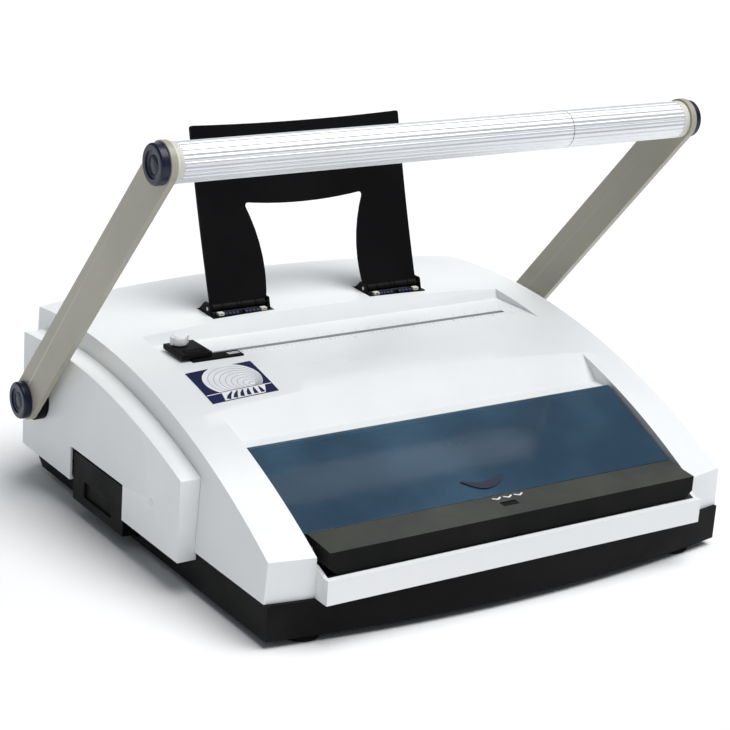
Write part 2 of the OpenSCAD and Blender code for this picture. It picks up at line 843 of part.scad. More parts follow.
// Flat plate with a window, leaning back from its hinge
module document_rest() {
    leg = rest_leg_w / 2;
    color(black) bench() difference() {
        translate([0, hinge_y, hinge_z]) rotate([-rest_lean, 0, 0]) {
            difference() {
                block([-rest_w / 2, -rest_t / 2, 3.5], [rest_w / 2, rest_t / 2, rest_len]);
                face_cut(-10, 10) polygon([
                    [-rest_w / 2 + rest_leg_w, -10], [rest_w / 2 - rest_leg_w, -10],
                    [rest_w / 2 - rest_leg_w, 8], [rest_window_half, rest_len - rest_head],
                    [-rest_window_half, rest_len - rest_head], [-rest_w / 2 + rest_leg_w, 8]
                ]);
            }
            both_sides() translate([leg_x, 0, 0]) {
                bar_x(-leg + 0.5, leg - 0.5, 3.2, 0, 0);
                block([-leg + 0.5, -rest_t / 2, 0], [leg - 0.5, rest_t / 2, 3.5]);
            }
        }
        bar_x(-big, big, hinge_pin_r, hinge_y, hinge_z);
    }
}

module rest_hinge_pins() {
    color(steel) bench() both_sides()
        bar_x(leg_x - ear_x - ear_t / 2, leg_x + ear_x + ear_t / 2, hinge_pin_r, hinge_y, hinge_z);
}

// Scale plate that the edge guide runs along
module guide_track() {
    color(black) bench() block(
        [guide_x - 4, slot_front_y - 12, shelf_z + seat],
        [guide_x + guide_len + 14, slot_front_y - 1, shelf_z + 1.6]);
}

// Slider that sets the side margin, with a tongue down into the slot
module edge_guide() {
    z0 = shelf_z + 1.6 + gap;
    color(black) bench() {
        block([guide_x - 12, slot_front_y - 9, z0], [guide_x + 14, slot_rear_y + 16, z0 + 4]);
        block([guide_x, slot_front_y + 0.3, pin_z + pin_side / 2 + 1], [guide_x + 3, slot_rear_y - 0.3, z0]);
        translate([guide_x - 2, slot_rear_y + 9, z0 + 4]) cylinder(h = 4, r = 2.5, $fn = round_fn);
    }
}

module guide_knob() {
    z0 = shelf_z + 1.6 + gap + 4 + gap;
    color(white) bench() translate([guide_x - 2, slot_rear_y + 9, z0]) difference() {
        union() {
            cylinder(h = 8, r = 6, $fn = round_fn);
            translate([-7.5, -1.5, 0]) cube([15, 3, 7]);
        }
        translate([0, 0, -1]) cylinder(h = 6, r = 2.5 + run_fit, $fn = round_fn);
    }
}

// Printed chart that lies on the arch
module size_chart() {
    color([0.1, 0.13, 0.3]) bench() intersection() {
        difference() {
            arch(-0.4);
            arch(-0.02);
        }
        block([chart_x, chart_front_y, 0], [chart_x + chart_w, chart_front_y + chart_d, big]);
    }
}

module drawer_runners() {
    color([0.2, 0.2, 0.2]) bench() for (sy = [-1, 1])
        block([-half_w + 14, drawer_y + sy * (drawer_w / 2 - 8) - 3, floor_z + seat],
              [drawer_front_x + drawer_len, drawer_y + sy * (drawer_w / 2 - 8) + 3, drawer_z - 0.3]);
}

// Chip drawer with a finger pull in its front
module chip_drawer() {
    x1 = drawer_front_x + drawer_len;
    y0 = drawer_y - drawer_w / 2;
    y1 = drawer_y + drawer_w / 2;
    color(black) bench() difference() {
        block([drawer_front_x, y0, drawer_z], [x1, y1, drawer_top_z]);
        block([drawer_front_x + 4, y0 + drawer_wall, drawer_z + drawer_wall],
              [x1 - drawer_wall, y1 - drawer_wall, big]);
        block([drawer_front_x - 1, drawer_y - 22, drawer_z + 8],
              [drawer_front_x + 2, drawer_y + 22, drawer_z + 20]);
    }
}

base_tray();
rubber_feet();
base_screws();
top_cover();
left_pod();
right_pod();
pod_plugs();
front_panel();
left_frame();
right_frame();
guide_bracket();
frame_bushings();
pivot_bushings();
die_block();
stripper_plate();
paper_stop();
guide_rods();
frame_screws();
bay_tray();
closer_anvil();
wire_hook_rail();
lid_pins();
press_bar_pins();
press_springs();
rest_brackets();
rest_lugs();
rest_screws();
guide_track();
size_chart();
drawer_runners();
left_arm();
right_arm();
tie_rod();
main_grip();
short_grip();
grip_collars();
upper_caps();
pivot_caps();
handle_bolts();
drive_shaft();
pinions();
punch_bar();
punch_pins();
left_rack();
right_rack();
lid();
press_bar();
press_pad();
closer_jaw();
document_rest();
rest_hinge_pins();
edge_guide();
guide_knob();
chip_drawer();
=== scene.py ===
"""A wire comb binding machine: casing, handle, punch, lid, press bar, sheet rest and chip drawer.

Sizes are in millimetres until a mesh is made. Depths named y count from the front of the side
rails, and point() moves them into the frame's own metres.
"""

import json
import logging
import math
from dataclasses import dataclass, field
from enum import Enum
from typing import Iterable, Sequence

import bmesh
import bpy
from mathutils import Matrix, Vector
from mathutils.geometry import tessellate_polygon


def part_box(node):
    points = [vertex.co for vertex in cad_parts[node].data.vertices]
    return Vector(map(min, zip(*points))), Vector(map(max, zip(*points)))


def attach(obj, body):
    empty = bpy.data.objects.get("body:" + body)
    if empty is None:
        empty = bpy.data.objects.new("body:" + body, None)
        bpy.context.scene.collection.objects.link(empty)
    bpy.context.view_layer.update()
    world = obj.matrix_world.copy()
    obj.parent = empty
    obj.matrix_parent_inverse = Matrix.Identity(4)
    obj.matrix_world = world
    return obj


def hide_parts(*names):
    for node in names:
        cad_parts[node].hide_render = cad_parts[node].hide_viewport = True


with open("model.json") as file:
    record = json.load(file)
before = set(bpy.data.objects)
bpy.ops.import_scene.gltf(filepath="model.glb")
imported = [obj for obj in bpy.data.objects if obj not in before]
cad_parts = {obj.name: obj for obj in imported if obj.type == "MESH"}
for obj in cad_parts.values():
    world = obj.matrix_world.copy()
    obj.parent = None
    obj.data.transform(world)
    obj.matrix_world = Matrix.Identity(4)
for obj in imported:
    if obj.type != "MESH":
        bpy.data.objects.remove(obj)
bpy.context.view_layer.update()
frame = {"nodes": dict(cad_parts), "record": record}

LOG = logging.getLogger("binding_machine")
MM = 0.001
MID_Y = 181.5

Color = tuple[float, float, float]
Flat = tuple[float, float]


class Body(Enum):
    """Which moving body a piece rides on."""

    MACHINE = "machine"
    HANDLE = "handle"
    LID = "lid"
    PRESS = "press_bar"
    REST = "document_rest"
    GUIDE = "edge_guide"
    KNOB = "guide_knob"
    DRAWER = "chip_drawer"


class Slot(Enum):
    """The record's material slots."""

    WHITE = "white_plastic"
    BLACK = "black_plastic"
    BAR = "bar_plastic"
    GREY = "dark_grey"
    STEEL = "steel"
    GROUND = "polished_steel"
    ALUMINIUM = "aluminium"
    ARM = "arm_paint"
    NAVY = "navy_plastic"
    CREAM = "cream_plastic"
    BLUE = "blue_clear"
    RUBBER = "rubber"
    BRONZE = "brass"
    CHART = "chart"


def point(x: float, y: float, z: float) -> Vector:
    """A place in the frame, in metres, from millimetres with y counted from the rail fronts."""
    return Vector((x, y - MID_Y, z)) * MM


def extent(node: str) -> tuple[Vector, Vector]:
    """A CAD node's lowest and highest corners, in millimetres with y from the rail fronts."""
    low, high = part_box(node)
    shift = Vector((0, MID_Y, 0))
    return low / MM + shift, high / MM + shift


# ---------------------------------------------------------------- node trees


def add_node(tree: bpy.types.NodeTree, kind: str, settings: dict | None = None,
             inputs: dict | None = None) -> bpy.types.Node:
    """Adds a node and fills it in.

    Args:
        tree: The tree it goes in.
        kind: The node's type name.
        settings: Values for the node's own properties.
        inputs: Values or output sockets for its inputs, by name or number.

    Returns:
        The new node.
    """
    node = tree.nodes.new(kind)
    for key, value in (settings or {}).items():
        setattr(node, key, value)
    for key, value in (inputs or {}).items():
        if isinstance(value, bpy.types.NodeSocket):
            tree.links.new(value, node.inputs[key])
        else:
            node.inputs[key].default_value = value
    return node


@dataclass(frozen=True)
class Finish:
    """One surface finish, mottled in two tones, with a grain and a roughness that varies.

    Noise scales are per metre. Depths are in millimetres.
    """

    slot: Slot
    color: Color
    shade: Color
    rough: Flat = (0.4, 0.5)
    metal: float = 0.0
    coat: float = 0.0
    clear: float = 0.0
    mottle: float = 14.0
    grain: float = 1500.0
    grain_depth: float = 0.02
    stretch: Color = (1.0, 1.0, 1.0)
    worn: Color | None = None
    specular: float = 0.5
    name: str = ""

    def material(self) -> bpy.types.Material:
        """The finish as a node material on Object coordinates, made once."""
        label = self.name or self.slot.value
        made = bpy.data.materials.get("mat_" + label)
        if made:
            return made
        made = bpy.data.materials.new("mat_" + label)
        made.use_nodes = True
        tree = made.node_tree
        tree.nodes.clear()
        place = add_node(tree, "ShaderNodeTexCoord").outputs["Object"]
        drawn = add_node(tree, "ShaderNodeMapping", {"vector_type": "POINT"},
                         {"Vector": place, "Scale": self.stretch}).outputs["Vector"]
        tone = self._noise(tree, place, self.mottle, 3.0)
        color = self._mix(tree, self._ramp(tree, tone, 0.35, 0.65), self.color, self.shade)
        if self.worn:
            edges = add_node(tree, "ShaderNodeNewGeometry").outputs["Pointiness"]
            color = self._mix(tree, self._ramp(tree, edges, 0.52, 0.62), color, self.worn)
        grain = self._noise(tree, drawn, self.grain, 4.0)
        bump = add_node(tree, "ShaderNodeBump", None, {
            "Strength": 0.6, "Distance": self.grain_depth * MM, "Height": grain})
        smears = self._noise(tree, drawn, self.mottle * 3.1, 5.0)
        rough = add_node(tree, "ShaderNodeMapRange", None, {
            "Value": smears, "From Min": 0.3, "From Max": 0.7,
            "To Min": self.rough[0], "To Max": self.rough[1]}).outputs["Result"]
        shader = add_node(tree, "ShaderNodeBsdfPrincipled", None, {
            "Base Color": color, "Roughness": rough, "Normal": bump.outputs["Normal"],
            "Metallic": self.metal, "Coat Weight": self.coat, "Coat Roughness": 0.12,
            "Transmission Weight": self.clear, "IOR": 1.49,
            "Specular IOR Level": self.specular})
        add_node(tree, "ShaderNodeOutputMaterial", None, {"Surface": shader.outputs["BSDF"]})
        return made

    @staticmethod
    def _noise(tree: bpy.types.NodeTree, where: bpy.types.NodeSocket, scale: float,
               detail: float) -> bpy.types.NodeSocket:
        """A noise value at a scale, read at where."""
        return add_node(tree, "ShaderNodeTexNoise", None, {
            "Vector": where, "Scale": scale, "Detail": detail}).outputs["Fac"]

    @staticmethod
    def _ramp(tree: bpy.types.NodeTree, value: bpy.types.NodeSocket, low: float,
              high: float) -> bpy.types.NodeSocket:
        """The value spread from 0 at low to 1 at high."""
        return add_node(tree, "ShaderNodeMapRange", {"interpolation_type": "SMOOTHSTEP"}, {
            "Value": value, "From Min": low, "From Max": high}).outputs["Result"]

    @staticmethod
    def _mix(tree: bpy.types.NodeTree, share: bpy.types.NodeSocket,
             first: "Color | bpy.types.NodeSocket", second: Color) -> bpy.types.NodeSocket:
        """The first colour turned into the second by share."""
        opened = first if isinstance(first, bpy.types.NodeSocket) else (*first, 1.0)
        return add_node(tree, "ShaderNodeMix", {"data_type": "RGBA"}, {
            "Factor": share, 6: opened, 7: (*second, 1.0)}).outputs[2]


WHITE = Finish(Slot.WHITE, (0.86, 0.87, 0.87), (0.83, 0.845, 0.85), (0.36, 0.46),
               grain_depth=0.018, worn=(0.93, 0.93, 0.93))
BLACK = Finish(Slot.BLACK, (0.002, 0.002, 0.0025), (0.004, 0.004, 0.0045), (0.42, 0.54),
               grain=1100.0, grain_depth=0.03, worn=(0.009, 0.009, 0.0095), specular=0.08)
MATT_BLACK = Finish(Slot.BLACK, (0.0025, 0.0025, 0.003), (0.0045, 0.0045, 0.005), (0.55, 0.68),
                    grain=1400.0, grain_depth=0.04, worn=(0.008, 0.008, 0.008), specular=0.08,
                    name="rest_black")
# The press bar's dark plastic. On the bar this lighter copy stays on the top faces as painted
# light, and the darker copy below goes on the front faces as painted shade.
BAR = Finish(Slot.BAR, (0.03, 0.034, 0.029), (0.042, 0.044, 0.034), (0.36, 0.47),
             mottle=22.0, grain=900.0, grain_depth=0.05, worn=(0.07, 0.07, 0.065), specular=0.4)
# A darker copy of the press bar's plastic, painted shade for the bar's front faces.
BAR_SHADED_FRONT = Finish(Slot.BAR, (0.0045, 0.005, 0.0045), (0.007, 0.0075, 0.0065), (0.42, 0.54),
                   mottle=22.0, grain=900.0, grain_depth=0.05, specular=0.08, name="bar_shaded_front")
GREY = Finish(Slot.GREY, (0.10, 0.11, 0.125), (0.13, 0.14, 0.15), (0.5, 0.6))
STEEL = Finish(Slot.STEEL, (0.55, 0.56, 0.57), (0.47, 0.48, 0.50), (0.28, 0.42), metal=1.0,
               grain=500.0, grain_depth=0.008, stretch=(0.06, 1.0, 1.0))
GROUND = Finish(Slot.GROUND, (0.74, 0.74, 0.76), (0.68, 0.68, 0.70), (0.12, 0.2), metal=1.0,
                grain=900.0, grain_depth=0.003, stretch=(0.2, 1.0, 1.0))
ALUMINIUM = Finish(Slot.ALUMINIUM, (0.88, 0.89, 0.90), (0.83, 0.85, 0.87), (0.34, 0.42),
                   metal=0.75, grain=700.0, grain_depth=0.002, stretch=(0.04, 1.0, 1.0))
ARM = Finish(Slot.ARM, (0.41, 0.385, 0.305), (0.38, 0.36, 0.29), (0.4, 0.5), mottle=9.0,
             grain=1300.0, grain_depth=0.02, coat=0.15, worn=(0.62, 0.61, 0.55))
NAVY = Finish(Slot.NAVY, (0.004, 0.006, 0.022), (0.006, 0.009, 0.034), (0.32, 0.4), coat=0.1,
              grain=900.0, grain_depth=0.006, worn=(0.012, 0.018, 0.06), specular=0.35)
KNUCKLE = Finish(Slot.NAVY, (0.010, 0.014, 0.04), (0.015, 0.02, 0.055), (0.5, 0.6),
                 grain_depth=0.01, specular=0.3, name="knuckle_navy")
CREAM = Finish(Slot.CREAM, (0.74, 0.73, 0.66), (0.70, 0.69, 0.62), (0.4, 0.5))
BLUE = Finish(Slot.BLUE, (0.075, 0.175, 0.28), (0.035, 0.095, 0.17), (0.06, 0.13), clear=0.55,
              coat=0.4, mottle=9.0, grain=500.0, grain_depth=0.003)
RUBBER = Finish(Slot.RUBBER, (0.006, 0.006, 0.006), (0.011, 0.011, 0.0105), (0.72, 0.85),
                grain=900.0, grain_depth=0.05, specular=0.15)
BRONZE = Finish(Slot.BRONZE, (0.55, 0.36, 0.15), (0.45, 0.29, 0.12), (0.3, 0.45), metal=1.0,
                grain=1200.0, grain_depth=0.02)
CHART = Finish(Slot.CHART, (0.006, 0.008, 0.055), (0.008, 0.011, 0.07), (0.25, 0.32),
               grain=700.0, grain_depth=0.004)
PRINT = Finish(Slot.WHITE, (0.86, 0.87, 0.88), (0.78, 0.79, 0.81), (0.3, 0.4), mottle=60.0,
               grain_depth=0.004, name="print_silver")
PRINT_LINE = Finish(Slot.GREY, (0.36, 0.40, 0.43), (0.44, 0.47, 0.50), (0.35, 0.45),
                    mottle=60.0, grain_depth=0.004, name="print_line")
TICK_INK = Finish(Slot.GREY, (0.40, 0.42, 0.44), (0.48, 0.49, 0.5), (0.4, 0.5), mottle=90.0,
                  grain_depth=0.004, name="tick_ink")
BY_SLOT = {f.slot: f for f in (WHITE, BLACK, BAR, GREY, STEEL, GROUND, ALUMINIUM, ARM, NAVY,
                               CREAM, BLUE, RUBBER, BRONZE, CHART)}


# ---------------------------------------------------------------- meshes


def as_object(name: str, shape: bmesh.types.BMesh) -> bpy.types.Object:
    """Turns a finished bmesh into an object at the origin, and frees the bmesh."""
    mesh = bpy.data.meshes.new(name)
    shape.to_mesh(mesh)
    shape.free()
    made = bpy.data.objects.new(name, mesh)
    bpy.context.scene.collection.objects.link(made)
    return made


def settle(thing: bpy.types.Object) -> bpy.types.Object:
    """Applies every modifier, so that the piece is a plain mesh."""
    graph = bpy.context.evaluated_depsgraph_get()
    graph.update()
    mesh = bpy.data.meshes.new_from_object(thing.evaluated_get(graph))
    thing.modifiers.clear()
    thing.data = mesh
    return thing


def soften(thing: bpy.types.Object, width: float, steps: int = 2, angle: float = 32.0,
           crisp: Sequence[Color] = ()) -> bpy.types.Object:
    """Rounds the sharp edges and evens the shading.

    Args:
        thing: The piece, with a merged mesh.
        width: Width of the rounding, in millimetres.
        steps: Faces across each rounded edge.
        angle: Edges sharper than this many degrees are rounded.
        crisp: Holes along X that stay unrounded, as their y, z and radius in millimetres.

    Returns:
        The same piece, with a plain mesh.
    """
    shape = bmesh.new()
    shape.from_mesh(thing.data)
    weight = shape.edges.layers.float.new("bevel_weight_edge")
    for edge in shape.edges:
        middle = (edge.verts[0].co + edge.verts[1].co) / (2 * MM) + Vector((0, MID_Y, 0))
        spared = any(math.hypot(middle.y - y, middle.z - z) < r for y, z, r in crisp)
        bent = edge.is_manifold and edge.calc_face_angle() > math.radians(angle)
        edge[weight] = 1.0 if bent and not spared else 0.0
    shape.to_mesh(thing.data)
    shape.free()
    bevel = thing.modifiers.new("round", "BEVEL")
    bevel.width = width * MM
    bevel.segments = steps
    bevel.limit_method = "WEIGHT"
    bevel.use_clamp_overlap = True
    bevel.miter_outer = "MITER_ARC"
    settle(thing)
    thing.data.shade_smooth()
    thing.data.set_sharp_from_angle(angle=math.radians(50))
    even = thing.modifiers.new("even", "WEIGHTED_NORMAL")
    even.keep_sharp = True
    even.mode = "FACE_AREA"
    return settle(thing)


def smooth(thing: bpy.types.Object, angle: float = 35.0) -> bpy.types.Object:
    """Smooth shading, with edges over the angle left sharp."""
    thing.data.shade_smooth()
    thing.data.set_sharp_from_angle(angle=math.radians(angle))
    return thing


def merged_copy(node: str, name: str, whole_faces: bool = True) -> bpy.types.Object:
    """A copy of a CAD node with its loose triangles joined.

    Args:
        node: The CAD node.
        name: The copy's name.
        whole_faces: Whether flat stretches become one face. A flat face with a hole in it
            can shade with a crease, so it is kept in triangles.

    Returns:
        The copy.
    """
    shape = bmesh.new()
    shape.from_mesh(frame["nodes"][node].data)
    bmesh.ops.remove_doubles(shape, verts=shape.verts, dist=0.004 * MM)
    bmesh.ops.dissolve_degenerate(shape, edges=shape.edges, dist=0.004 * MM)
    if whole_faces:
        bmesh.ops.dissolve_limit(shape, angle_limit=math.radians(0.1), verts=shape.verts,
                                 edges=shape.edges)
    return as_object(name, shape)


def rounded(outline: Sequence[Flat], radii: Sequence[float], steps: int = 6) -> list[Flat]:
    """A closed outline with its corners rounded.

    Args:
        outline: The corners, in order.
        radii: The radius at each corner, in the outline's units.
        steps: Parts in each rounded corner.

    Returns:
        The new outline's points.
    """
    made: list[Flat] = []
    for i, corner in enumerate(outline):
        here = Vector(corner)
        back = Vector(outline[i - 1]) - here
        ahead = Vector(outline[(i + 1) % len(outline)]) - here
        reach = min(radii[i] / math.tan(back.angle(ahead) / 2), back.length / 2, ahead.length / 2)
        if radii[i] <= 0:
            made.append((here.x, here.y))
            continue
        start, end = here + back.normalized() * reach, here + ahead.normalized() * reach
        for k in range(steps + 1):
            t = k / steps
            spot = start * (1 - t) ** 2 + here * 2 * t * (1 - t) + end * t * t
            made.append((spot.x, spot.y))
    return made


def plate(outline: Sequence[Flat], low: float, high: float) -> bmesh.types.BMesh:
    """A closed solid with a flat outline in XY, from height low to high."""
    shape = bmesh.new()
    rings = [[shape.verts.new((x, y, z)) for x, y in outline] for z in (low, high)]
    count = len(outline)
    for a, b, c in tessellate_polygon([[Vector((x, y, 0)) for x, y in outline]]):
        shape.faces.new((rings[0][a], rings[0][b], rings[0][c]))
        shape.faces.new((rings[1][c], rings[1][b], rings[1][a]))
    for i in range(count):
        j = (i + 1) % count
        shape.faces.new((rings[0][i], rings[0][j], rings[1][j], rings[1][i]))
    bmesh.ops.recalc_face_normals(shape, faces=shape.faces)
    return shape


def turned(profile: Sequence[Flat], steps: int = 64) -> bmesh.types.BMesh:
    """A shape turned round Z from (radius, height) points that start and end on the axis."""
    shape = bmesh.new()
    rings: list[list[bmesh.types.BMVert]] = []
    for radius, height in profile:
        if radius < 1e-9:
            rings.append([shape.verts.new((0, 0, height))])
        else:
            rings.append([shape.verts.new((radius * math.cos(a), radius * math.sin(a), height))
                          for a in (math.tau * k / steps for k in range(steps))])
    for low, high in zip(rings, rings[1:]):
        for k in range(steps):
            n = (k + 1) % steps
            face = [low[k % len(low)], low[n % len(low)], high[n % len(high)], high[k % len(high)]]
            corners = list(dict.fromkeys(face))
            if len(corners) > 2:
                shape.faces.new(corners)
    bmesh.ops.recalc_face_normals(shape, faces=shape.faces)
    return shape


def arc(centre: Flat, radius: float, start: float, end: float, steps: int = 5) -> list[Flat]:
    """Points on an arc, with its angles in degrees."""
    angles = [math.radians(start + (end - start) * k / steps) for k in range(steps + 1)]
    return [(centre[0] + radius * math.cos(a), centre[1] + radius * math.sin(a)) for a in angles]


def moved(shape: bmesh.types.BMesh, matrix: Matrix) -> bmesh.types.BMesh:
    """The shape, changed by the matrix and then scaled from millimetres to metres."""
    shape.transform(Matrix.Scale(MM, 4) @ matrix)
    if matrix.determinant() < 0:
        bmesh.ops.reverse_faces(shape, faces=shape.faces)
    return shape


def block(low: Sequence[float], high: Sequence[float]) -> bmesh.types.BMesh:
    """A box between two corners, in millimetres."""
    shape = bmesh.new()
    size = Vector(high) - Vector(low)
    middle = (Vector(high) + Vector(low)) / 2
    bmesh.ops.create_cube(shape, size=1.0)
    shape.transform(Matrix.Translation(middle) @ Matrix.Diagonal((*size, 1)))
    return shape


def joined(shapes: Iterable[bmesh.types.BMesh]) -> bmesh.types.BMesh:
    """Several shapes in one, none of them merged."""
    whole = bmesh.new()
    for part in shapes:
        mesh = bpy.data.meshes.new("part")
        part.to_mesh(mesh)
        part.free()
        whole.from_mesh(mesh)
        bpy.data.meshes.remove(mesh)
    return whole


def as_shape(thing: bpy.types.Object) -> bmesh.types.BMesh:
    """Takes a piece's mesh back as a bmesh, and removes the piece."""
    shape = bmesh.new()
    shape.from_mesh(thing.data)
    bpy.data.objects.remove(thing)
    return shape


IN_BENCH = Matrix.Translation((0, -MID_Y, 0))
ALONG_X = Matrix.Rotation(math.pi / 2, 4, "Y")
MIRROR_X = Matrix.Scale(-1, 4, (1, 0, 0))
NO_TURN = (0.0, 0.0, 0.0)


# ---------------------------------------------------------------- geometry nodes


class Recipe:
    """A geometry node tree that is built once, with named inputs."""

    def __init__(self, name: str, inputs: dict[str, str]) -> None:
        """Starts the tree.

        Args:
            name: The tree's name.
            inputs: Each input's name and its socket type.
        """
        self.tree = bpy.data.node_groups.new(name, "GeometryNodeTree")
        face = self.tree.interface
        face.new_socket("Geometry", in_out="INPUT", socket_type="NodeSocketGeometry")
        self.keys = {label: face.new_socket(label, in_out="INPUT", socket_type=kind).identifier
                     for label, kind in inputs.items()}
        face.new_socket("Geometry", in_out="OUTPUT", socket_type="NodeSocketGeometry")
        self.given = self.tree.nodes.new("NodeGroupInput").outputs

    def add(self, kind: str, settings: dict | None = None,
            inputs: dict | None = None) -> bpy.types.Node:
        """Adds a node to the tree."""
        return add_node(self.tree, kind, settings, inputs)

    def end(self, geometry: bpy.types.NodeSocket) -> None:
        """Realizes the instances, sets the material and ends the tree."""
        real = self.add("GeometryNodeRealizeInstances", None, {"Geometry": geometry})
        done = self.add("GeometryNodeSetMaterial", None, {
            "Geometry": real.outputs[0], "Material": self.given["Finish"]})
        self.add("NodeGroupOutput", None, {"Geometry": done.outputs[0]})

    def run(self, thing: bpy.types.Object, **values: object) -> bpy.types.Object:
        """Runs the tree on a piece and leaves a plain mesh.

        Args:
            thing: The piece that the tree works on.
            **values: A value for each named input.

        Returns:
            The same piece.
        """
        modifier = thing.modifiers.new(self.tree.name, "NODES")
        modifier.node_group = self.tree
        for label, value in values.items():
            modifier[self.keys[label]] = value
        return settle(thing)


def repeat_recipe() -> Recipe:
    """Copies the piece Count times, each moved by Step and turned by Turn from the last."""
    recipe = Recipe("repeat_in_step", {
        "Count": "NodeSocketInt", "Step": "NodeSocketVector", "Turn": "NodeSocketVector",
        "Place": "NodeSocketVector", "Finish": "NodeSocketMaterial"})
    line = recipe.add("GeometryNodeMeshLine", {"mode": "OFFSET"}, {
        "Count": recipe.given["Count"], "Offset": recipe.given["Step"]})
    index = recipe.add("GeometryNodeInputIndex").outputs[0]
    turn = recipe.add("ShaderNodeVectorMath", {"operation": "SCALE"}, {
        0: recipe.given["Turn"], "Scale": index})
    copies = recipe.add("GeometryNodeInstanceOnPoints", None, {
        "Points": line.outputs[0], "Instance": recipe.given["Geometry"],
        "Rotation": turn.outputs[0]})
    placed = recipe.add("GeometryNodeTransform", None, {
        "Geometry": copies.outputs[0], "Translation": recipe.given["Place"]})
    recipe.end(placed.outputs[0])
    return recipe


def scatter_recipe() -> Recipe:
    """Sets a pattern piece on each vertex, turned by Turn."""
    recipe = Recipe("set_on_points", {
        "Pattern": "NodeSocketObject", "Turn": "NodeSocketVector",
        "Finish": "NodeSocketMaterial"})
    pattern = recipe.add("GeometryNodeObjectInfo", None, {"Object": recipe.given["Pattern"]})
    copies = recipe.add("GeometryNodeInstanceOnPoints", None, {
        "Points": recipe.given["Geometry"], "Instance": pattern.outputs["Geometry"],
        "Rotation": recipe.given["Turn"]})
    recipe.end(copies.outputs[0])
    return recipe


def fluted_recipe() -> Recipe:
    """A fluted bar from Start to End, with a narrow groove between broad lands."""
    recipe = Recipe("fluted_bar", {
        "Start": "NodeSocketVector", "End": "NodeSocketVector", "Radius": "NodeSocketFloat",
        "Flutes": "NodeSocketInt", "Depth": "NodeSocketFloat", "Finish": "NodeSocketMaterial"})
    per_flute = 8

    def math_node(operation: str, first: object, second: object = 0.0,
                  third: float = 0.0) -> bpy.types.NodeSocket:
        """One sum."""
        return recipe.add("ShaderNodeMath", {"operation": operation},
                          {0: first, 1: second, 2: third}).outputs[0]

    points = math_node("MULTIPLY", recipe.given["Flutes"], float(per_flute))
    ring = recipe.add("GeometryNodeCurvePrimitiveCircle", {"mode": "RADIUS"}, {
        "Resolution": points, "Radius": recipe.given["Radius"]})
    index = recipe.add("GeometryNodeInputIndex").outputs[0]
    wave = math_node("COSINE", math_node("MULTIPLY", index, math.tau / per_flute))
    share = math_node("POWER", math_node("MULTIPLY_ADD", wave, 0.5, 0.5), 3.0)
    depth = math_node("MULTIPLY", math_node("MULTIPLY", share, recipe.given["Depth"]), -1.0)
    spot = recipe.add("GeometryNodeInputPosition").outputs[0]
    outward = recipe.add("ShaderNodeVectorMath", {"operation": "NORMALIZE"}, {0: spot})
    inward = recipe.add("ShaderNodeVectorMath", {"operation": "SCALE"}, {
        0: outward.outputs[0], "Scale": depth})
    fluted = recipe.add("GeometryNodeSetPosition", None, {
        "Geometry": ring.outputs["Curve"], "Offset": inward.outputs[0]})
    line = recipe.add("GeometryNodeCurvePrimitiveLine", None, {
        "Start": recipe.given["Start"], "End": recipe.given["End"]})
    bar = recipe.add("GeometryNodeCurveToMesh", None, {
        "Curve": line.outputs[0], "Profile Curve": fluted.outputs[0], "Fill Caps": True})
    recipe.end(bar.outputs[0])
    return recipe


def spring_recipe() -> Recipe:
    """A wound spring along X from Place."""
    recipe = Recipe("wound_spring", {
        "Turns": "NodeSocketFloat", "Radius": "NodeSocketFloat", "Wire": "NodeSocketFloat",
        "Length": "NodeSocketFloat", "Place": "NodeSocketVector",
        "Finish": "NodeSocketMaterial"})
    coil = recipe.add("GeometryNodeCurveSpiral", None, {
        "Resolution": 20, "Rotations": recipe.given["Turns"],
        "Start Radius": recipe.given["Radius"], "End Radius": recipe.given["Radius"],
        "Height": recipe.given["Length"]})
    wire = recipe.add("GeometryNodeCurvePrimitiveCircle", {"mode": "RADIUS"}, {
        "Resolution": 8, "Radius": recipe.given["Wire"]})
    tube = recipe.add("GeometryNodeCurveToMesh", None, {
        "Curve": coil.outputs[0], "Profile Curve": wire.outputs[0], "Fill Caps": True})
    laid = recipe.add("GeometryNodeTransform", None, {
        "Geometry": tube.outputs[0], "Rotation": (0.0, math.pi / 2, 0.0),
        "Translation": recipe.given["Place"]})
    recipe.end(laid.outputs[0])
    return recipe


REPEAT = repeat_recipe()
SCATTER = scatter_recipe()
FLUTED = fluted_recipe()
SPRING = spring_recipe()


# ---------------------------------------------------------------- handing over


def hand_over(thing: bpy.types.Object, body: Body, finish: Finish,
              nodes: Iterable[str] = ()) -> bpy.types.Object:
    """Dresses a piece, puts it on the body that it rides on, and hides the CAD nodes that it
    stands for.

    Args:
        thing: The finished mesh.
        body: The body that it moves with.
        finish: Its finish.
        nodes: The CAD nodes that it replaces.

    Returns:
        The same piece.
    """
    thing.data.materials.clear()
    thing.data.materials.append(finish.material())
    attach(thing, body.value)
    if nodes:
        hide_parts(*nodes)
    LOG.info("%s: %d faces on %s", thing.name, len(thing.data.polygons), body.value)
    return thing


def carry(node: str, name: str, width: float, body: Body, finish: Finish,
          steps: int = 2) -> bpy.types.Object:
    """Hands over a rounded copy of a CAD node in the node's place.

    Args:
        node: The CAD node.
        name: The piece's name.
        width: Width of the rounding, in millimetres.
        body: The body that it moves with.
        finish: Its finish.
        steps: Faces across each rounded edge.

    Returns:
        The piece.
    """
    return hand_over(soften(merged_copy(node, name), width, steps), body, finish, [node])


@dataclass
class Arch:
    """The crowned top surface of the cover, which the chart is bent onto."""

    half_w: float = 206.0
    top_y: float = 290.0
    top_z: float = 139.0
    rise: float = 75.4
    crown: float = 7.0

    def height(self, x: float, y: float) -> float:
        """Height of the surface at x, y."""
        radius = (self.top_y ** 2 + self.rise ** 2) / (2 * self.rise)
        crown_r = (self.half_w ** 2 + self.crown ** 2) / (2 * self.crown)
        reach = radius + self.crown - crown_r + math.sqrt(crown_r ** 2 - x ** 2)
        return self.top_z - radius + math.sqrt(reach ** 2 - (y - self.top_y) ** 2)


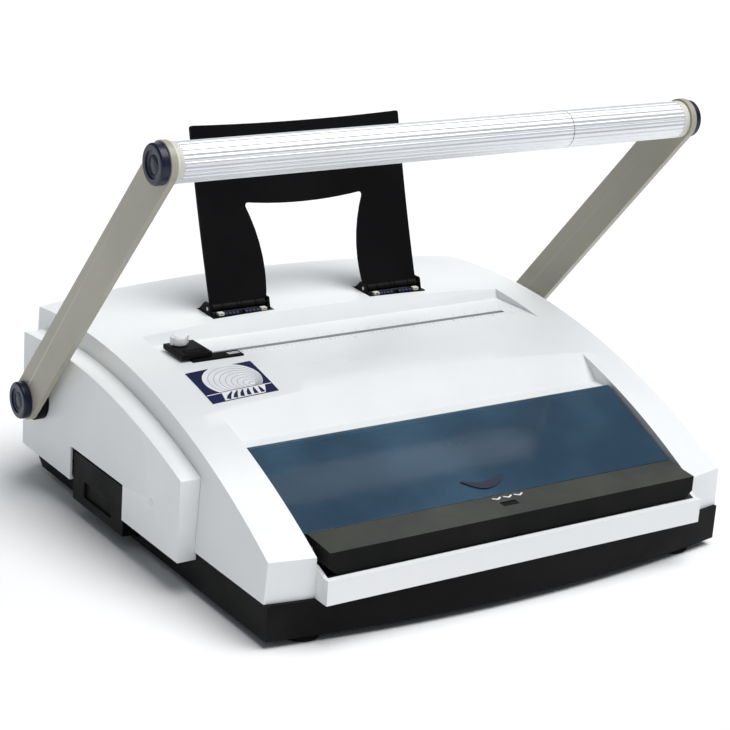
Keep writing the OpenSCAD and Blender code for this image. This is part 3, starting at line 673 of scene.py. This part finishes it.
@dataclass
class Casing:
    """The white cover, pods and lip, the black base, and what they stand on."""

    edge: float = 0.9
    small_edge: float = 0.4
    foot_r: float = 15.0
    foot_h: float = 6.0
    foot_grooves: int = 3
    screw_r: float = 3.8
    bracket_screw_r: float = 2.6
    bracket_screw_pitch: float = 28.0
    pierced: tuple[str, ...] = ("left_pod", "right_pod")
    plug_hole: Color = (135.0, 58.0, 4.0)

    def build(self) -> None:
        """Builds every piece of the casing."""
        shells = {
            "top_cover": (WHITE, self.edge), "left_pod": (WHITE, self.edge),
            "right_pod": (WHITE, self.edge), "front_panel": (WHITE, self.edge),
            "pod_plugs": (WHITE, 0.2), "base_tray": (BLACK, self.edge),
            "bay_tray": (GREY, self.small_edge), "pivot_bushings": (BLACK, 0.6),
            "closer_anvil": (STEEL, 0.2), "left_frame": (STEEL, 0.3),
            "right_frame": (STEEL, 0.3), "drawer_runners": (GREY, 0.5)}
        for node, (finish, width) in shells.items():
            pierced = node in self.pierced
            shell = soften(merged_copy(node, node + "_shell", not pierced), width,
                           crisp=[self.plug_hole] if pierced else ())
            hand_over(shell, Body.MACHINE, finish, [node])
        self.build_feet()
        self.build_screws()

    def build_feet(self) -> None:
        """Four turned rubber feet, each with grooves round it and a screw well below."""
        low, high = extent("rubber_feet")
        profile = [(0, 3), (4.8, 3), (4.8, 0.3), (5.1, 0), (self.foot_r - 2, 0)]
        profile += arc((self.foot_r - 2, 1), 1, -90, 0)
        for k in range(self.foot_grooves):
            z = 1.7 + 1.3 * k
            profile += [(self.foot_r - 0.8, z), (self.foot_r - 1.3, z + 0.3),
                        (self.foot_r - 1.3, z + 0.6), (self.foot_r - 0.6, z + 0.9)]
        profile += [(self.foot_r, self.foot_h), (0, self.foot_h)]
        pattern = smooth(as_object("foot_pattern", moved(turned(profile, 48), Matrix())))
        spots = [point(sx * (high.x - self.foot_r), y, 0) for sx in (-1, 1)
                 for y in (low.y + self.foot_r, high.y - self.foot_r)]
        self.scatter("feet", pattern, spots, (0, 0, 0), RUBBER, ["rubber_feet"])

    def build_screws(self) -> None:
        """Cross-head screws under the feet and on the sheet rest's brackets."""
        head = self.screw_head(self.screw_r, 2.0)
        low, high = extent("base_screws")
        spots = [point(sx * (high.x - self.screw_r), y, 3.0) for sx in (-1, 1)
                 for y in (low.y + self.screw_r, high.y - self.screw_r)]
        self.scatter("foot_screws", head, spots, (math.pi, 0, 0), STEEL, ["base_screws"])
        head = self.screw_head(self.bracket_screw_r, 1.2)
        low, high = extent("rest_screws")
        y, z = (low.y + high.y) / 2, low.z
        outer = high.x - self.bracket_screw_r
        spots = [point(sx * x, y, z) for sx in (-1, 1)
                 for x in (outer, outer - self.bracket_screw_pitch)]
        self.scatter("bracket_screws", head, spots, (0, 0, 0), STEEL, ["rest_screws"])

    @staticmethod
    def screw_head(radius: float, height: float) -> bpy.types.Object:
        """A domed head with a cross recess, standing on Z 0."""
        dome = [(0, 0), (radius, 0), (radius, height * 0.45)]
        dome += arc((radius * 0.55, height * 0.45), radius * 0.45, 8, 82, 4)
        top = max(h for _, h in dome)
        dome = [(r, h * height / top) for r, h in dome] + [(0, height)]
        made = as_object("screw_pattern", moved(turned(dome, 20), Matrix()))
        arm = radius * 0.62
        for turn in (0, math.pi / 2):
            cutter = as_object("cutter", moved(
                block((-arm, -radius * 0.13, height * 0.35), (arm, radius * 0.13, height * 2)),
                Matrix.Rotation(turn + 0.4, 4, "Z")))
            cut = made.modifiers.new("recess", "BOOLEAN")
            cut.object = cutter
            cut.solver = "EXACT"
            settle(made)
            bpy.data.objects.remove(cutter)
        return smooth(made)

    @staticmethod
    def scatter(name: str, pattern: bpy.types.Object, spots: Sequence[Vector],
                turn: Color, finish: Finish, nodes: Sequence[str]) -> None:
        """Sets copies of a pattern at the spots, as one piece on the machine's body."""
        shape = bmesh.new()
        for spot in spots:
            shape.verts.new(spot)
        made = as_object(name, shape)
        SCATTER.run(made, Pattern=pattern, Turn=turn, Finish=finish.material())
        bpy.data.objects.remove(pattern)
        hand_over(made, Body.MACHINE, finish, nodes)


@dataclass
class Handle:
    """The pull handle: fluted grips on a rod between two flat arms, with round caps."""

    flutes: int = 24
    flute_depth: float = 0.55

    def build(self) -> None:
        """Builds the arms, grips, collars and caps."""
        for node in ("left_arm", "right_arm"):
            carry(node, node + "_blade", 0.9, Body.HANDLE, ARM, 3)
        for node in ("main_grip", "short_grip"):
            self.build_grip(node)
        self.build_collars()
        for node in ("upper_caps", "pivot_caps"):
            self.build_caps(node)

    def build_grip(self, node: str) -> None:
        """One fluted grip in the space of its CAD node."""
        low, high = extent(node)
        middle = (low + high) / 2
        radius = (high.z - low.z) / 2
        made = as_object(node + "_fluted", bmesh.new())
        FLUTED.run(made, Start=point(low.x, middle.y, middle.z),
                   End=point(high.x, middle.y, middle.z), Radius=radius * MM,
                   Flutes=self.flutes, Depth=self.flute_depth * MM,
                   Finish=ALUMINIUM.material())
        hand_over(smooth(made, 60), Body.HANDLE, ALUMINIUM, [node])

    def build_collars(self) -> None:
        """A cream spacer between each arm and its grip."""
        low, high = extent("grip_collars")
        radius = (high.z - low.z) / 2
        inner = extent("short_grip")[1].x
        width = high.x - inner
        profile = [(0, 0), (radius - 0.6, 0)]
        profile += arc((radius - 0.6, 0.6), 0.6, -90, 0) + [(radius, width * 0.4)]
        profile += [(radius - 0.35, width * 0.5), (radius, width * 0.6)]
        profile += arc((radius - 0.6, width - 0.6), 0.6, 0, 90) + [(0, width)]
        seat = Matrix.Translation((inner, (low.y + high.y) / 2, (low.z + high.z) / 2)) @ ALONG_X
        both = [moved(turned(profile), side @ IN_BENCH @ seat) for side in (Matrix(), MIRROR_X)]
        hand_over(smooth(as_object("collars", joined(both))), Body.HANDLE, CREAM,
                  ["grip_collars"])

    def build_caps(self, node: str) -> None:
        """Glossy caps with a raised ring round a sunk face."""
        low, high = extent(node)
        radius = (high.z - low.z) / 2
        base = extent("right_arm")[1].x + 0.02
        depth = high.x - base
        ring = radius - 5.0
        profile = [(0, 0), (radius - 0.5, 0), (radius, 0.5)]
        profile += arc((radius - 1.8, depth - 1.8), 1.8, 0, 90, 8)
        profile += arc((ring + 0.6, depth - 0.6), 0.6, 90, 180, 4)
        profile += [(ring, depth - 1.1), (ring - 0.5, depth - 1.3), (ring - 2.4, depth - 1.3)]
        profile += [(ring - 2.9, depth - 1.7), (ring - 3.4, depth - 1.3), (0, depth - 1.0)]
        seat = Matrix.Translation((base, (low.y + high.y) / 2, (low.z + high.z) / 2)) @ ALONG_X
        both = [moved(turned(profile), side @ IN_BENCH @ seat) for side in (Matrix(), MIRROR_X)]
        hand_over(smooth(as_object(node + "_moulded", joined(both)), 40), Body.HANDLE, NAVY,
                  [node])


@dataclass
class Lid:
    """The tinted lid with its crescent finger pull."""

    pin: Flat = (94.0, 103.5)
    front: Flat = (17.0, 68.7)
    thickness: float = 2.5
    pull_x: float = -3.0
    pull_reach: float = 67.0
    pull_w: float = 39.0
    pull_rise: float = 10.5

    def build(self) -> None:
        """Builds the panel and the finger pull."""
        carry("lid", "lid_panel", 0.5, Body.LID, BLUE)
        half = self.pull_w / 2
        outer = self.bow(half, self.pull_rise)
        inner = self.bow(half - 2.5, self.pull_rise * 0.36)
        outline = [*outer, *reversed(inner)]
        slope = math.atan2(self.pin[1] - self.front[1], self.pin[0] - self.front[0])
        lie = (IN_BENCH @ Matrix.Translation((0, *self.pin)) @ Matrix.Rotation(slope, 4, "X")
               @ Matrix.Translation((self.pull_x, -self.pull_reach, 0)))
        pull = as_object("finger_pull", moved(plate(outline, 0.4, self.thickness + 1.1), lie))
        hand_over(soften(pull, 0.5, 3), Body.LID, NAVY)

    @staticmethod
    def bow(half: float, rise: float, steps: int = 20) -> list[Flat]:
        """A shallow bow that sags by rise at its middle, from -half to half."""
        span = [half * (2 * k / steps - 1) for k in range(steps + 1)]
        return [(x, -rise * (1 - (x / half) ** 2)) for x in span]


@dataclass
class PressBar:
    """The press bar across the front, with its pictogram, pad and springs."""

    mark_x: float = 5.0
    mark_y: float = 9.2
    mark_step: float = 10.0
    chevrons: int = 3
    rear_rise: float = 2.5
    # Faces that point up more than this keep the lighter finish as painted light; the rest take
    # the darker copy as painted shade.
    lit_top_face: float = 0.7

    def build(self) -> None:
        """Builds the bar, the pad, the printed arrows, the jaw and the springs."""
        bar = carry("press_bar", "bar_moulding", 0.9, Body.PRESS, BAR, 3)
        # Painted light and shade: the top faces keep the lighter copy of the plastic, the front
        # faces take the darker copy.
        bar.data.materials.append(BAR_SHADED_FRONT.material())
        for face in bar.data.polygons:
            face.material_index = 0 if face.normal.z > self.lit_top_face else 1
        carry("press_pad", "pad_moulding", 0.5, Body.PRESS, BLACK)
        carry("closer_jaw", "jaw_plate", 0.2, Body.PRESS, STEEL)
        self.build_mark()
        self.build_springs()

    def build_mark(self) -> None:
        """Printed chevrons that point down at the press bar."""
        low, high = extent("press_bar")
        slope = self.rear_rise / (high.y - low.y)
        z = high.z - slope * (high.y - self.mark_y)
        chevron = [(-3.8, 2.3), (0, 0), (3.8, 2.3), (3.8, 3.9), (0, 1.6), (-3.8, 3.9)]
        shape = moved(plate(chevron, -0.1, 0.09), Matrix.Rotation(math.atan(slope), 4, "X"))
        mark = as_object("press_mark", shape)
        step = self.mark_step
        start = point(self.mark_x - step * (self.chevrons - 1) / 2, self.mark_y - 1.6, z)
        REPEAT.run(mark, Count=self.chevrons, Step=(step * MM, 0.0, 0.0), Turn=NO_TURN,
                   Place=start, Finish=PRINT.material())
        hand_over(mark, Body.PRESS, PRINT)

    @staticmethod
    def build_springs() -> None:
        """A wound return spring on each pin."""
        low, high = extent("press_springs")
        middle = (low + high) / 2
        coils = []
        length = 6.0
        for side in (-1, 1):
            start = high.x - 0.6 - length if side > 0 else low.x + 0.6
            coil = as_object("coil", bmesh.new())
            SPRING.run(coil, Turns=5.0, Radius=0.0028, Wire=0.0005, Length=length * MM,
                       Place=point(start, middle.y, middle.z), Finish=GROUND.material())
            coils.append(as_shape(coil))
        made = as_object("bar_springs", joined(coils))
        hand_over(smooth(made, 60), Body.MACHINE, GROUND, ["press_springs"])


@dataclass
class SheetRest:
    """The black sheet rest, its hinge barrels, and the feet that it folds on."""

    hinge: Flat = (270.0, 148.5)
    lean: float = 18.0
    length: float = 143.0
    half_w: float = 98.5
    leg_w: float = 50.0
    window_half: float = 57.5
    window_top: float = 80.0
    window_waist: Flat = (45.0, 25.0)
    sag: float = 4.0
    top_sag: float = 2.0
    corner_r: float = 2.5
    bulge: float = 1.6
    thickness: float = 2.6
    leg_x: float = 73.5

    def build(self) -> None:
        """Builds the rest, its barrels, the brackets, lugs and knuckles."""
        self.build_plate()
        self.build_barrels()
        carry("rest_brackets", "bracket_mouldings", 0.4, Body.MACHINE, BLACK)
        carry("rest_lugs", "lug_mouldings", 0.25, Body.MACHINE, CREAM)
        self.build_knuckles()

    def lie(self) -> Matrix:
        """From the rest's own plane, with its length up Z, to the frame."""
        return (IN_BENCH @ Matrix.Translation((0, *self.hinge))
                @ Matrix.Rotation(math.radians(-self.lean), 4, "X"))

    def build_plate(self) -> None:
        """One bowed plate with a window that is open at the foot."""
        steps = 10
        window = [(self.window_half * (1 - 2 * k / steps),
                   self.window_top - self.sag * (1 - (1 - 2 * k / steps) ** 2))
                  for k in range(steps + 1)]
        jamb = [(self.jamb(z), z) for z in (1.0, 9.0, 17.0, 25.0, 36.0, 47.0, 58.0, 69.0)]
        top = [(self.half_w * (1 - 2 * k / steps),
                self.length - self.top_sag * (1 - (1 - 2 * k / steps) ** 2))
               for k in range(steps + 1)]
        corners = [*reversed(jamb), (self.half_w - 0.5, 1.0), *top, (-self.half_w + 0.5, 1.0),
                   *((-x, z) for x, z in jamb), *reversed(window)]
        soft = {0: 0.0, len(jamb) + 1: self.corner_r, len(jamb) + len(top): self.corner_r,
                len(corners) - len(window): 4.0, len(corners) - 1: 4.0}
        radii = [soft.get(i, 0.0) for i in range(len(corners))]
        outline = rounded(corners, radii)
        shape = plate(outline, -self.thickness / 2, self.thickness / 2)
        shape.transform(Matrix.Rotation(math.pi / 2, 4, "X"))
        rows = 22
        for k in range(1, rows):
            cut = self.length * k / rows
            bmesh.ops.bisect_plane(shape, geom=[*shape.verts, *shape.edges, *shape.faces],
                                   plane_co=(0, 0, cut), plane_no=(0, 0, 1))
        for vert in shape.verts:
            share = max(0.0, min(1.0, vert.co.z / self.length))
            vert.co.y += self.bulge * math.sin(math.pi * share)
        made = as_object("rest_plate", moved(shape, self.lie()))
        hand_over(soften(made, 0.7, 3), Body.REST, MATT_BLACK, ["document_rest"])

    def jamb(self, z: float) -> float:
        """Half width of the window at height z, narrowest at its waist."""
        waist, level = self.window_waist
        if z < level:
            return waist + 2.5 * ((level - z) / level) ** 2
        return waist + (self.window_half - waist) * ((z - level) / (self.window_top - level)) ** 2

    def build_barrels(self) -> None:
        """A grooved hinge barrel at the foot of each leg."""
        radius, half = 3.2, self.leg_w / 2 - 0.6
        profile = [(0, -half), (radius - 0.5, -half), (radius, -half + 0.5)]
        for x in (-half * 0.62, -half * 0.08, half * 0.08, half * 0.62):
            profile += [(radius, x - 0.6), (radius - 0.5, x - 0.4), (radius - 0.5, x + 0.4),
                        (radius, x + 0.6)]
        profile += [(radius, half - 0.5), (radius - 0.5, half), (0, half)]
        seat = [Matrix.Translation((sx * self.leg_x, 0, 0)) @ ALONG_X for sx in (-1, 1)]
        both = [moved(turned(profile, 32), self.lie() @ place) for place in seat]
        hand_over(smooth(as_object("rest_barrels", joined(both)), 30), Body.REST, BLACK)

    def build_knuckles(self) -> None:
        """Two groups of low snap knuckles in front of each leg, on the bracket."""
        top = extent("rest_lugs")[0].z
        half, rise = 2.3, 2.0
        profile = [(-half, 0), (half, 0), (half, rise * 0.5), (half * 0.55, rise),
                   (-half * 0.55, rise), (-half, rise * 0.5)]
        groups = []
        per_group, pitch = 4, 3.4
        for sx in (-1, 1):
            for start in (-15.0, 3.4):
                rib = plate(profile, -1.35, 1.35)
                rib.transform(Matrix.Rotation(math.pi / 2, 4, "Y")
                              @ Matrix.Rotation(math.pi / 2, 4, "Z"))
                made = soften(as_object("rib", moved(rib, Matrix())), 0.25)
                place = point(sx * self.leg_x + start, self.hinge[0] - 7.4, top)
                REPEAT.run(made, Count=per_group, Step=(pitch * MM, 0.0, 0.0),
                           Turn=NO_TURN, Place=place, Finish=KNUCKLE.material())
                groups.append(as_shape(made))
        hand_over(smooth(as_object("bracket_knuckles", joined(groups)), 40), Body.MACHINE,
                  KNUCKLE)


@dataclass
class SideGuide:
    """The edge guide, its scale plate and the clamping knob."""

    ridges: int = 5
    knurls: int = 22
    scale_ticks: int = 12

    def build(self) -> None:
        """Builds the plate, slider, knob and their fine detail."""
        carry("guide_track", "track_plate", 0.3, Body.MACHINE, BLACK)
        carry("edge_guide", "guide_slider", 0.6, Body.GUIDE, BLACK)
        self.build_track_ticks()
        self.build_ridges()
        self.build_knob()

    def build_track_ticks(self) -> None:
        """Pale printed ticks on the scale plate."""
        low, high = extent("guide_track")
        mark = as_object("track_ticks", moved(block((-0.25, -2.2, 0), (0.25, 2.2, 0.06)),
                                              Matrix()))
        start = extent("edge_guide")[1].x + 15.0
        pitch = (high.x - start - 2) / (self.scale_ticks - 1)
        REPEAT.run(mark, Count=self.scale_ticks, Step=(pitch * MM, 0.0, 0.0),
                   Turn=NO_TURN, Place=point(start, (low.y + high.y) / 2, high.z),
                   Finish=PRINT.material())
        hand_over(mark, Body.MACHINE, PRINT)

    def build_ridges(self) -> None:
        """Grip ridges across the slider's front."""
        low, high = extent("edge_guide")
        top = high.z - 4.0
        rib = [(-0.5, 0), (0.5, 0), (0.25, 0.6), (-0.25, 0.6)]
        shape = plate(rib, -9.0, 9.0)
        shape.transform(Matrix.Rotation(math.pi / 2, 4, "Y")
                        @ Matrix.Rotation(math.pi / 2, 4, "Z"))
        made = as_object("guide_ridges", moved(shape, Matrix()))
        REPEAT.run(made, Count=self.ridges, Step=(0.0, 1.8 * MM, 0.0), Turn=NO_TURN,
                   Place=point((low.x + high.x) / 2 + 1, low.y + 2.0, top),
                   Finish=BLACK.material())
        hand_over(made, Body.GUIDE, BLACK)

    def build_knob(self) -> None:
        """A white knob with a knurled edge and a finger bar."""
        low, high = extent("guide_knob")
        centre = (low + high) / 2
        height = high.z - low.z
        radius = (high.y - low.y) / 2
        profile = [(0, 0), (radius - 0.8, 0), (radius - 0.4, 0.4), (radius - 0.4, height - 1.4)]
        profile += arc((radius - 1.4, height - 1.4), 1.0, 0, 90, 4) + [(0, height - 0.2)]
        disc = moved(turned(profile, 44), Matrix())
        made = as_object("knob_disc", disc)
        rib = as_object("knob_rib", moved(
            block((radius - 0.9, -0.28, 0.6), (radius, 0.28, height - 1.6)), Matrix()))
        REPEAT.run(rib, Count=self.knurls, Step=(0.0, 0.0, 0.0),
                   Turn=(0.0, 0.0, math.tau / self.knurls), Place=(0.0, 0.0, 0.0),
                   Finish=WHITE.material())
        bar = soften(as_object("knob_bar", moved(
            block((-7.5, -1.5, 0.2), (7.5, 1.5, height - 1)), Matrix())), 0.5, 3)
        shapes = []
        for part in (made, rib, bar):
            shape = as_shape(part)
            shape.transform(Matrix.Translation(point(centre.x, centre.y, low.z)))
            shapes.append(shape)
        knob = smooth(as_object("knob_knurled", joined(shapes)), 40)
        hand_over(knob, Body.KNOB, WHITE, ["guide_knob"])


@dataclass
class Markings:
    """The printed tick rows beside the paper slot and the ring-size chart on the arch."""

    arch: Arch = field(default_factory=Arch)
    design: Flat = (57.0, 47.0)
    film: float = 0.4
    rings: int = 9
    ring_r: float = 22.5
    ring_centre: Flat = (30.5, 20.5)
    touch: Flat = (43.5, 33.0)
    line_w: float = 0.55
    band: float = 36.0

    def build(self) -> None:
        """Builds the ticks and the chart's print."""
        self.build_ticks()
        self.build_chart()

    def build_ticks(self) -> None:
        """Three rows of ticks on the shelf, and the middle marks."""
        shelf = 133.0
        rows = [("ticks_front", 0.35, 2.2, -104.0, 209.0, 4.0, 69),
                ("ticks_front_long", 0.45, 4.2, -104.0, 210.0, 20.0, 14),
                ("ticks_rear", 0.35, 3.0, -124.0, 221.5, 12.0, 25),
                ("middle_marks", 0.7, 4.0, -3.0, 205.5, 0.0, 1)]
        for name, width, length, x, y, pitch, count in rows:
            tick = as_object(name, moved(
                block((-width / 2, -length / 2, -0.05), (width / 2, length / 2, 0.05)),
                Matrix()))
            REPEAT.run(tick, Count=count, Step=(pitch * MM, 0.0, 0.0), Turn=NO_TURN,
                       Place=point(x, y, shelf), Finish=TICK_INK.material())
            hand_over(tick, Body.MACHINE, TICK_INK)

    def on_arch(self, u: float, v: float, lift: float) -> Vector:
        """A place on the chart, u across and v forward from its rear left corner."""
        low, high = extent("size_chart")
        x = low.x + u * (high.x - low.x) / self.design[0]
        y = high.y - v * (high.y - low.y) / self.design[1]
        return point(x, y, self.arch.height(x, y) + self.film + lift)

    def lay(self, shape: bmesh.types.BMesh, closed: bool = False) -> bmesh.types.BMesh:
        """Cuts a flat shape into small faces and bends it onto the arch.

        Args:
            shape: The shape, with u, v and its lift above the film as coordinates.
            closed: Whether it is a closed solid.

        Returns:
            The same shape, in the frame.
        """
        for length, step, axis in zip(self.design, (6.0, 2.0), ((1, 0, 0), (0, 1, 0))):
            for k in range(1, math.ceil(length / step)):
                bmesh.ops.bisect_plane(shape, geom=[*shape.verts, *shape.edges, *shape.faces],
                                       plane_co=Vector(axis) * step * k, plane_no=axis)
        for vert in shape.verts:
            vert.co = self.on_arch(*vert.co)
        if closed:
            bmesh.ops.recalc_face_normals(shape, faces=shape.faces)
            return shape
        for face in shape.faces:
            face.normal_update()
            if face.normal.z < 0:
                face.normal_flip()
        return shape

    @staticmethod
    def print_patch(shape: bmesh.types.BMesh, outline: Sequence[Flat], lift: float) -> None:
        """Adds a filled outline to the flat shape."""
        spots = [shape.verts.new((u, v, lift)) for u, v in outline]
        for a, b, c in tessellate_polygon([[Vector((u, v, 0)) for u, v in outline]]):
            shape.faces.new((spots[a], spots[b], spots[c]))

    @staticmethod
    def strip(shape: bmesh.types.BMesh, line: Sequence[Flat], width: Sequence[float],
              lift: float) -> None:
        """Adds a strip along a line, with a width at each point, to the flat shape."""
        left, right = [], []
        for i, (u, v) in enumerate(line):
            ahead = Vector(line[min(i + 1, len(line) - 1)]) - Vector(line[max(i - 1, 0)])
            side = Vector((-ahead.y, ahead.x)).normalized() * width[i] / 2
            left.append(shape.verts.new((u + side.x, v + side.y, lift)))
            right.append(shape.verts.new((u - side.x, v - side.y, lift)))
        for i in range(len(line) - 1):
            shape.faces.new((left[i], right[i], right[i + 1], left[i + 1]))

    def circle(self, share: float, steps: int = 64) -> list[Flat]:
        """One of the nested rings, all of which meet at the touch point."""
        centre = Vector(self.touch).lerp(Vector(self.ring_centre), share)
        radius = self.ring_r * share
        ring = [(centre.x + radius * 1.06 * math.cos(math.tau * k / steps),
                 min(centre.y + radius * math.sin(math.tau * k / steps), self.band - 1.0))
                for k in range(steps)]
        return ring

    def build_chart(self) -> None:
        """The chart's navy ground with nested rings and a fan of leaders."""
        width, depth = self.design
        ground = plate([(0, 0), (width, 0), (width, depth), (0, depth)], 0.03 - self.film, 0.0)
        sheet = as_object("chart_film", self.lay(ground, closed=True))
        hand_over(smooth(sheet), Body.MACHINE, CHART, ["size_chart"])
        pale, grey, dark = bmesh.new(), bmesh.new(), bmesh.new()
        self.print_patch(pale, self.circle(1.0), 0.05)
        for k in range(1, self.rings):
            ring = self.circle(k / self.rings)
            self.strip(grey, [*ring, ring[0]], [self.line_w] * (len(ring) + 1), 0.10)
        self.strip(pale, [(0.6, self.band), (width - 0.6, self.band)], [0.9, 0.9], 0.06)
        self.print_patch(pale, [(13, self.band), (51, self.band - 0.5), (46, depth - 0.4),
                                (11, depth - 0.4)], 0.05)
        for k in range(6):
            foot = (14.5 + 6.0 * k, depth - 1.6)
            head = (21.5 + 4.6 * k, self.band + 0.8)
            bend = (foot[0] * 0.6 + head[0] * 0.4, (foot[1] + head[1]) / 2)
            self.strip(dark, [foot, bend, head], [3.6, 2.7, 0.7], 0.11)
        for name, shape, finish in (("chart_pale", pale, PRINT), ("chart_grey", grey, PRINT_LINE),
                                    ("chart_dark", dark, CHART)):
            hand_over(as_object(name, self.lay(shape)), Body.MACHINE, finish)


@dataclass
class ChipDrawer:
    """The drawer that catches punched chips."""

    edge: float = 0.8

    def build(self) -> None:
        """Builds the drawer."""
        drawer = soften(merged_copy("chip_drawer", "drawer_moulding"), self.edge)
        hand_over(drawer, Body.DRAWER, BLACK, ["chip_drawer"])


@dataclass
class Studio:
    """The camera, the pale floor and the soft lights."""

    eye: Color = (-0.8942, -1.2556, 0.6481)
    yaw: float = 35.19
    pitch: float = 19.03
    roll: float = 4.12
    lens: float = 102.98
    floor_half: float = 14.0

    def build(self) -> None:
        """Sets the camera, the floor, the world and the lights."""
        self.build_camera()
        self.build_floor()
        self.build_sun()
        self.build_card("back_card", (2.2, 3.4, 1.5), 2.4, 12.0)

    def build_camera(self) -> None:
        """A long lens, slightly rolled."""
        yaw, pitch, roll = (math.radians(a) for a in (self.yaw, self.pitch, self.roll))
        ahead = Vector((math.sin(yaw) * math.cos(pitch), math.cos(yaw) * math.cos(pitch),
                        -math.sin(pitch)))
        right = ahead.cross(Vector((0, 0, 1))).normalized()
        up = right.cross(ahead)
        side = right * math.cos(roll) + up * math.sin(roll)
        head = up * math.cos(roll) - right * math.sin(roll)
        lens = bpy.data.cameras.new("camera")
        lens.lens = self.lens
        lens.sensor_width = 36.0
        lens.clip_end = 60.0
        camera = bpy.data.objects.new("camera", lens)
        camera.matrix_world = Matrix.Translation(self.eye) @ Matrix(
            (side, head, -ahead)).transposed().to_4x4()
        bpy.context.scene.collection.objects.link(camera)
        bpy.context.scene.camera = camera

    def build_floor(self) -> None:
        """A pale floor and an even pale world."""
        shape = bmesh.new()
        bmesh.ops.create_grid(shape, x_segments=1, y_segments=1, size=self.floor_half)
        floor = as_object("floor", shape)
        paint = Finish(Slot.WHITE, (0.97, 0.97, 0.97), (0.96, 0.96, 0.965), (0.85, 0.9),
                       mottle=1.0, grain_depth=0.0, name="floor")
        floor.data.materials.append(paint.material())
        world = bpy.data.worlds.new("studio")
        world.use_nodes = True
        sky = world.node_tree.nodes["Background"]
        sky.inputs["Color"].default_value = (0.85, 0.92, 1.0, 1.0)
        sky.inputs["Strength"].default_value = 0.22
        bpy.context.scene.world = world
        bpy.context.scene.view_settings.view_transform = "Standard"

    @staticmethod
    def build_sun() -> None:
        """A broad soft light from above, a little to the front right."""
        lamp = bpy.data.lights.new("key", "SUN")
        lamp.energy = 2.95
        lamp.angle = math.radians(50)
        light = bpy.data.objects.new("key", lamp)
        light.rotation_euler = (-Vector((0.22, -0.24, 0.95))).to_track_quat("-Z", "Y").to_euler()
        bpy.context.scene.collection.objects.link(light)

    @staticmethod
    def build_card(name: str, place: Color, size: float, power: float) -> None:
        """A square soft light that looks at the machine."""
        lamp = bpy.data.lights.new(name, "AREA")
        lamp.size = size
        lamp.energy = power
        light = bpy.data.objects.new(name, lamp)
        light.location = place
        light.rotation_euler = (Vector((0, 0, 0.1)) - Vector(place)).to_track_quat(
            "-Z", "Y").to_euler()
        bpy.context.scene.collection.objects.link(light)


def dress_cad_nodes() -> None:
    """Gives each CAD node that still shows the finish of its slot."""
    slots = {row["node"]: row["material_slot"] for row in frame["record"]["subparts"]}
    for name, node in frame["nodes"].items():
        if node.hide_render:
            continue
        paint = BY_SLOT[Slot(slots[name])].material()
        if not node.material_slots:
            node.data.materials.append(paint)
        for held in node.material_slots:
            held.material = paint
        LOG.info("%s: the CAD's own mesh, dressed", name)


def main() -> None:
    """Builds the machine's sub-assemblies in order, then the studio."""
    logging.basicConfig(level=logging.INFO, format="%(name)s: %(message)s")
    for assembly in (Casing(), Handle(), Lid(), PressBar(), SheetRest(), SideGuide(),
                     Markings(), ChipDrawer()):
        LOG.info("building %s", type(assembly).__name__)
        assembly.build()
    dress_cad_nodes()
    Studio().build()


if __name__ == "__main__":
    main()
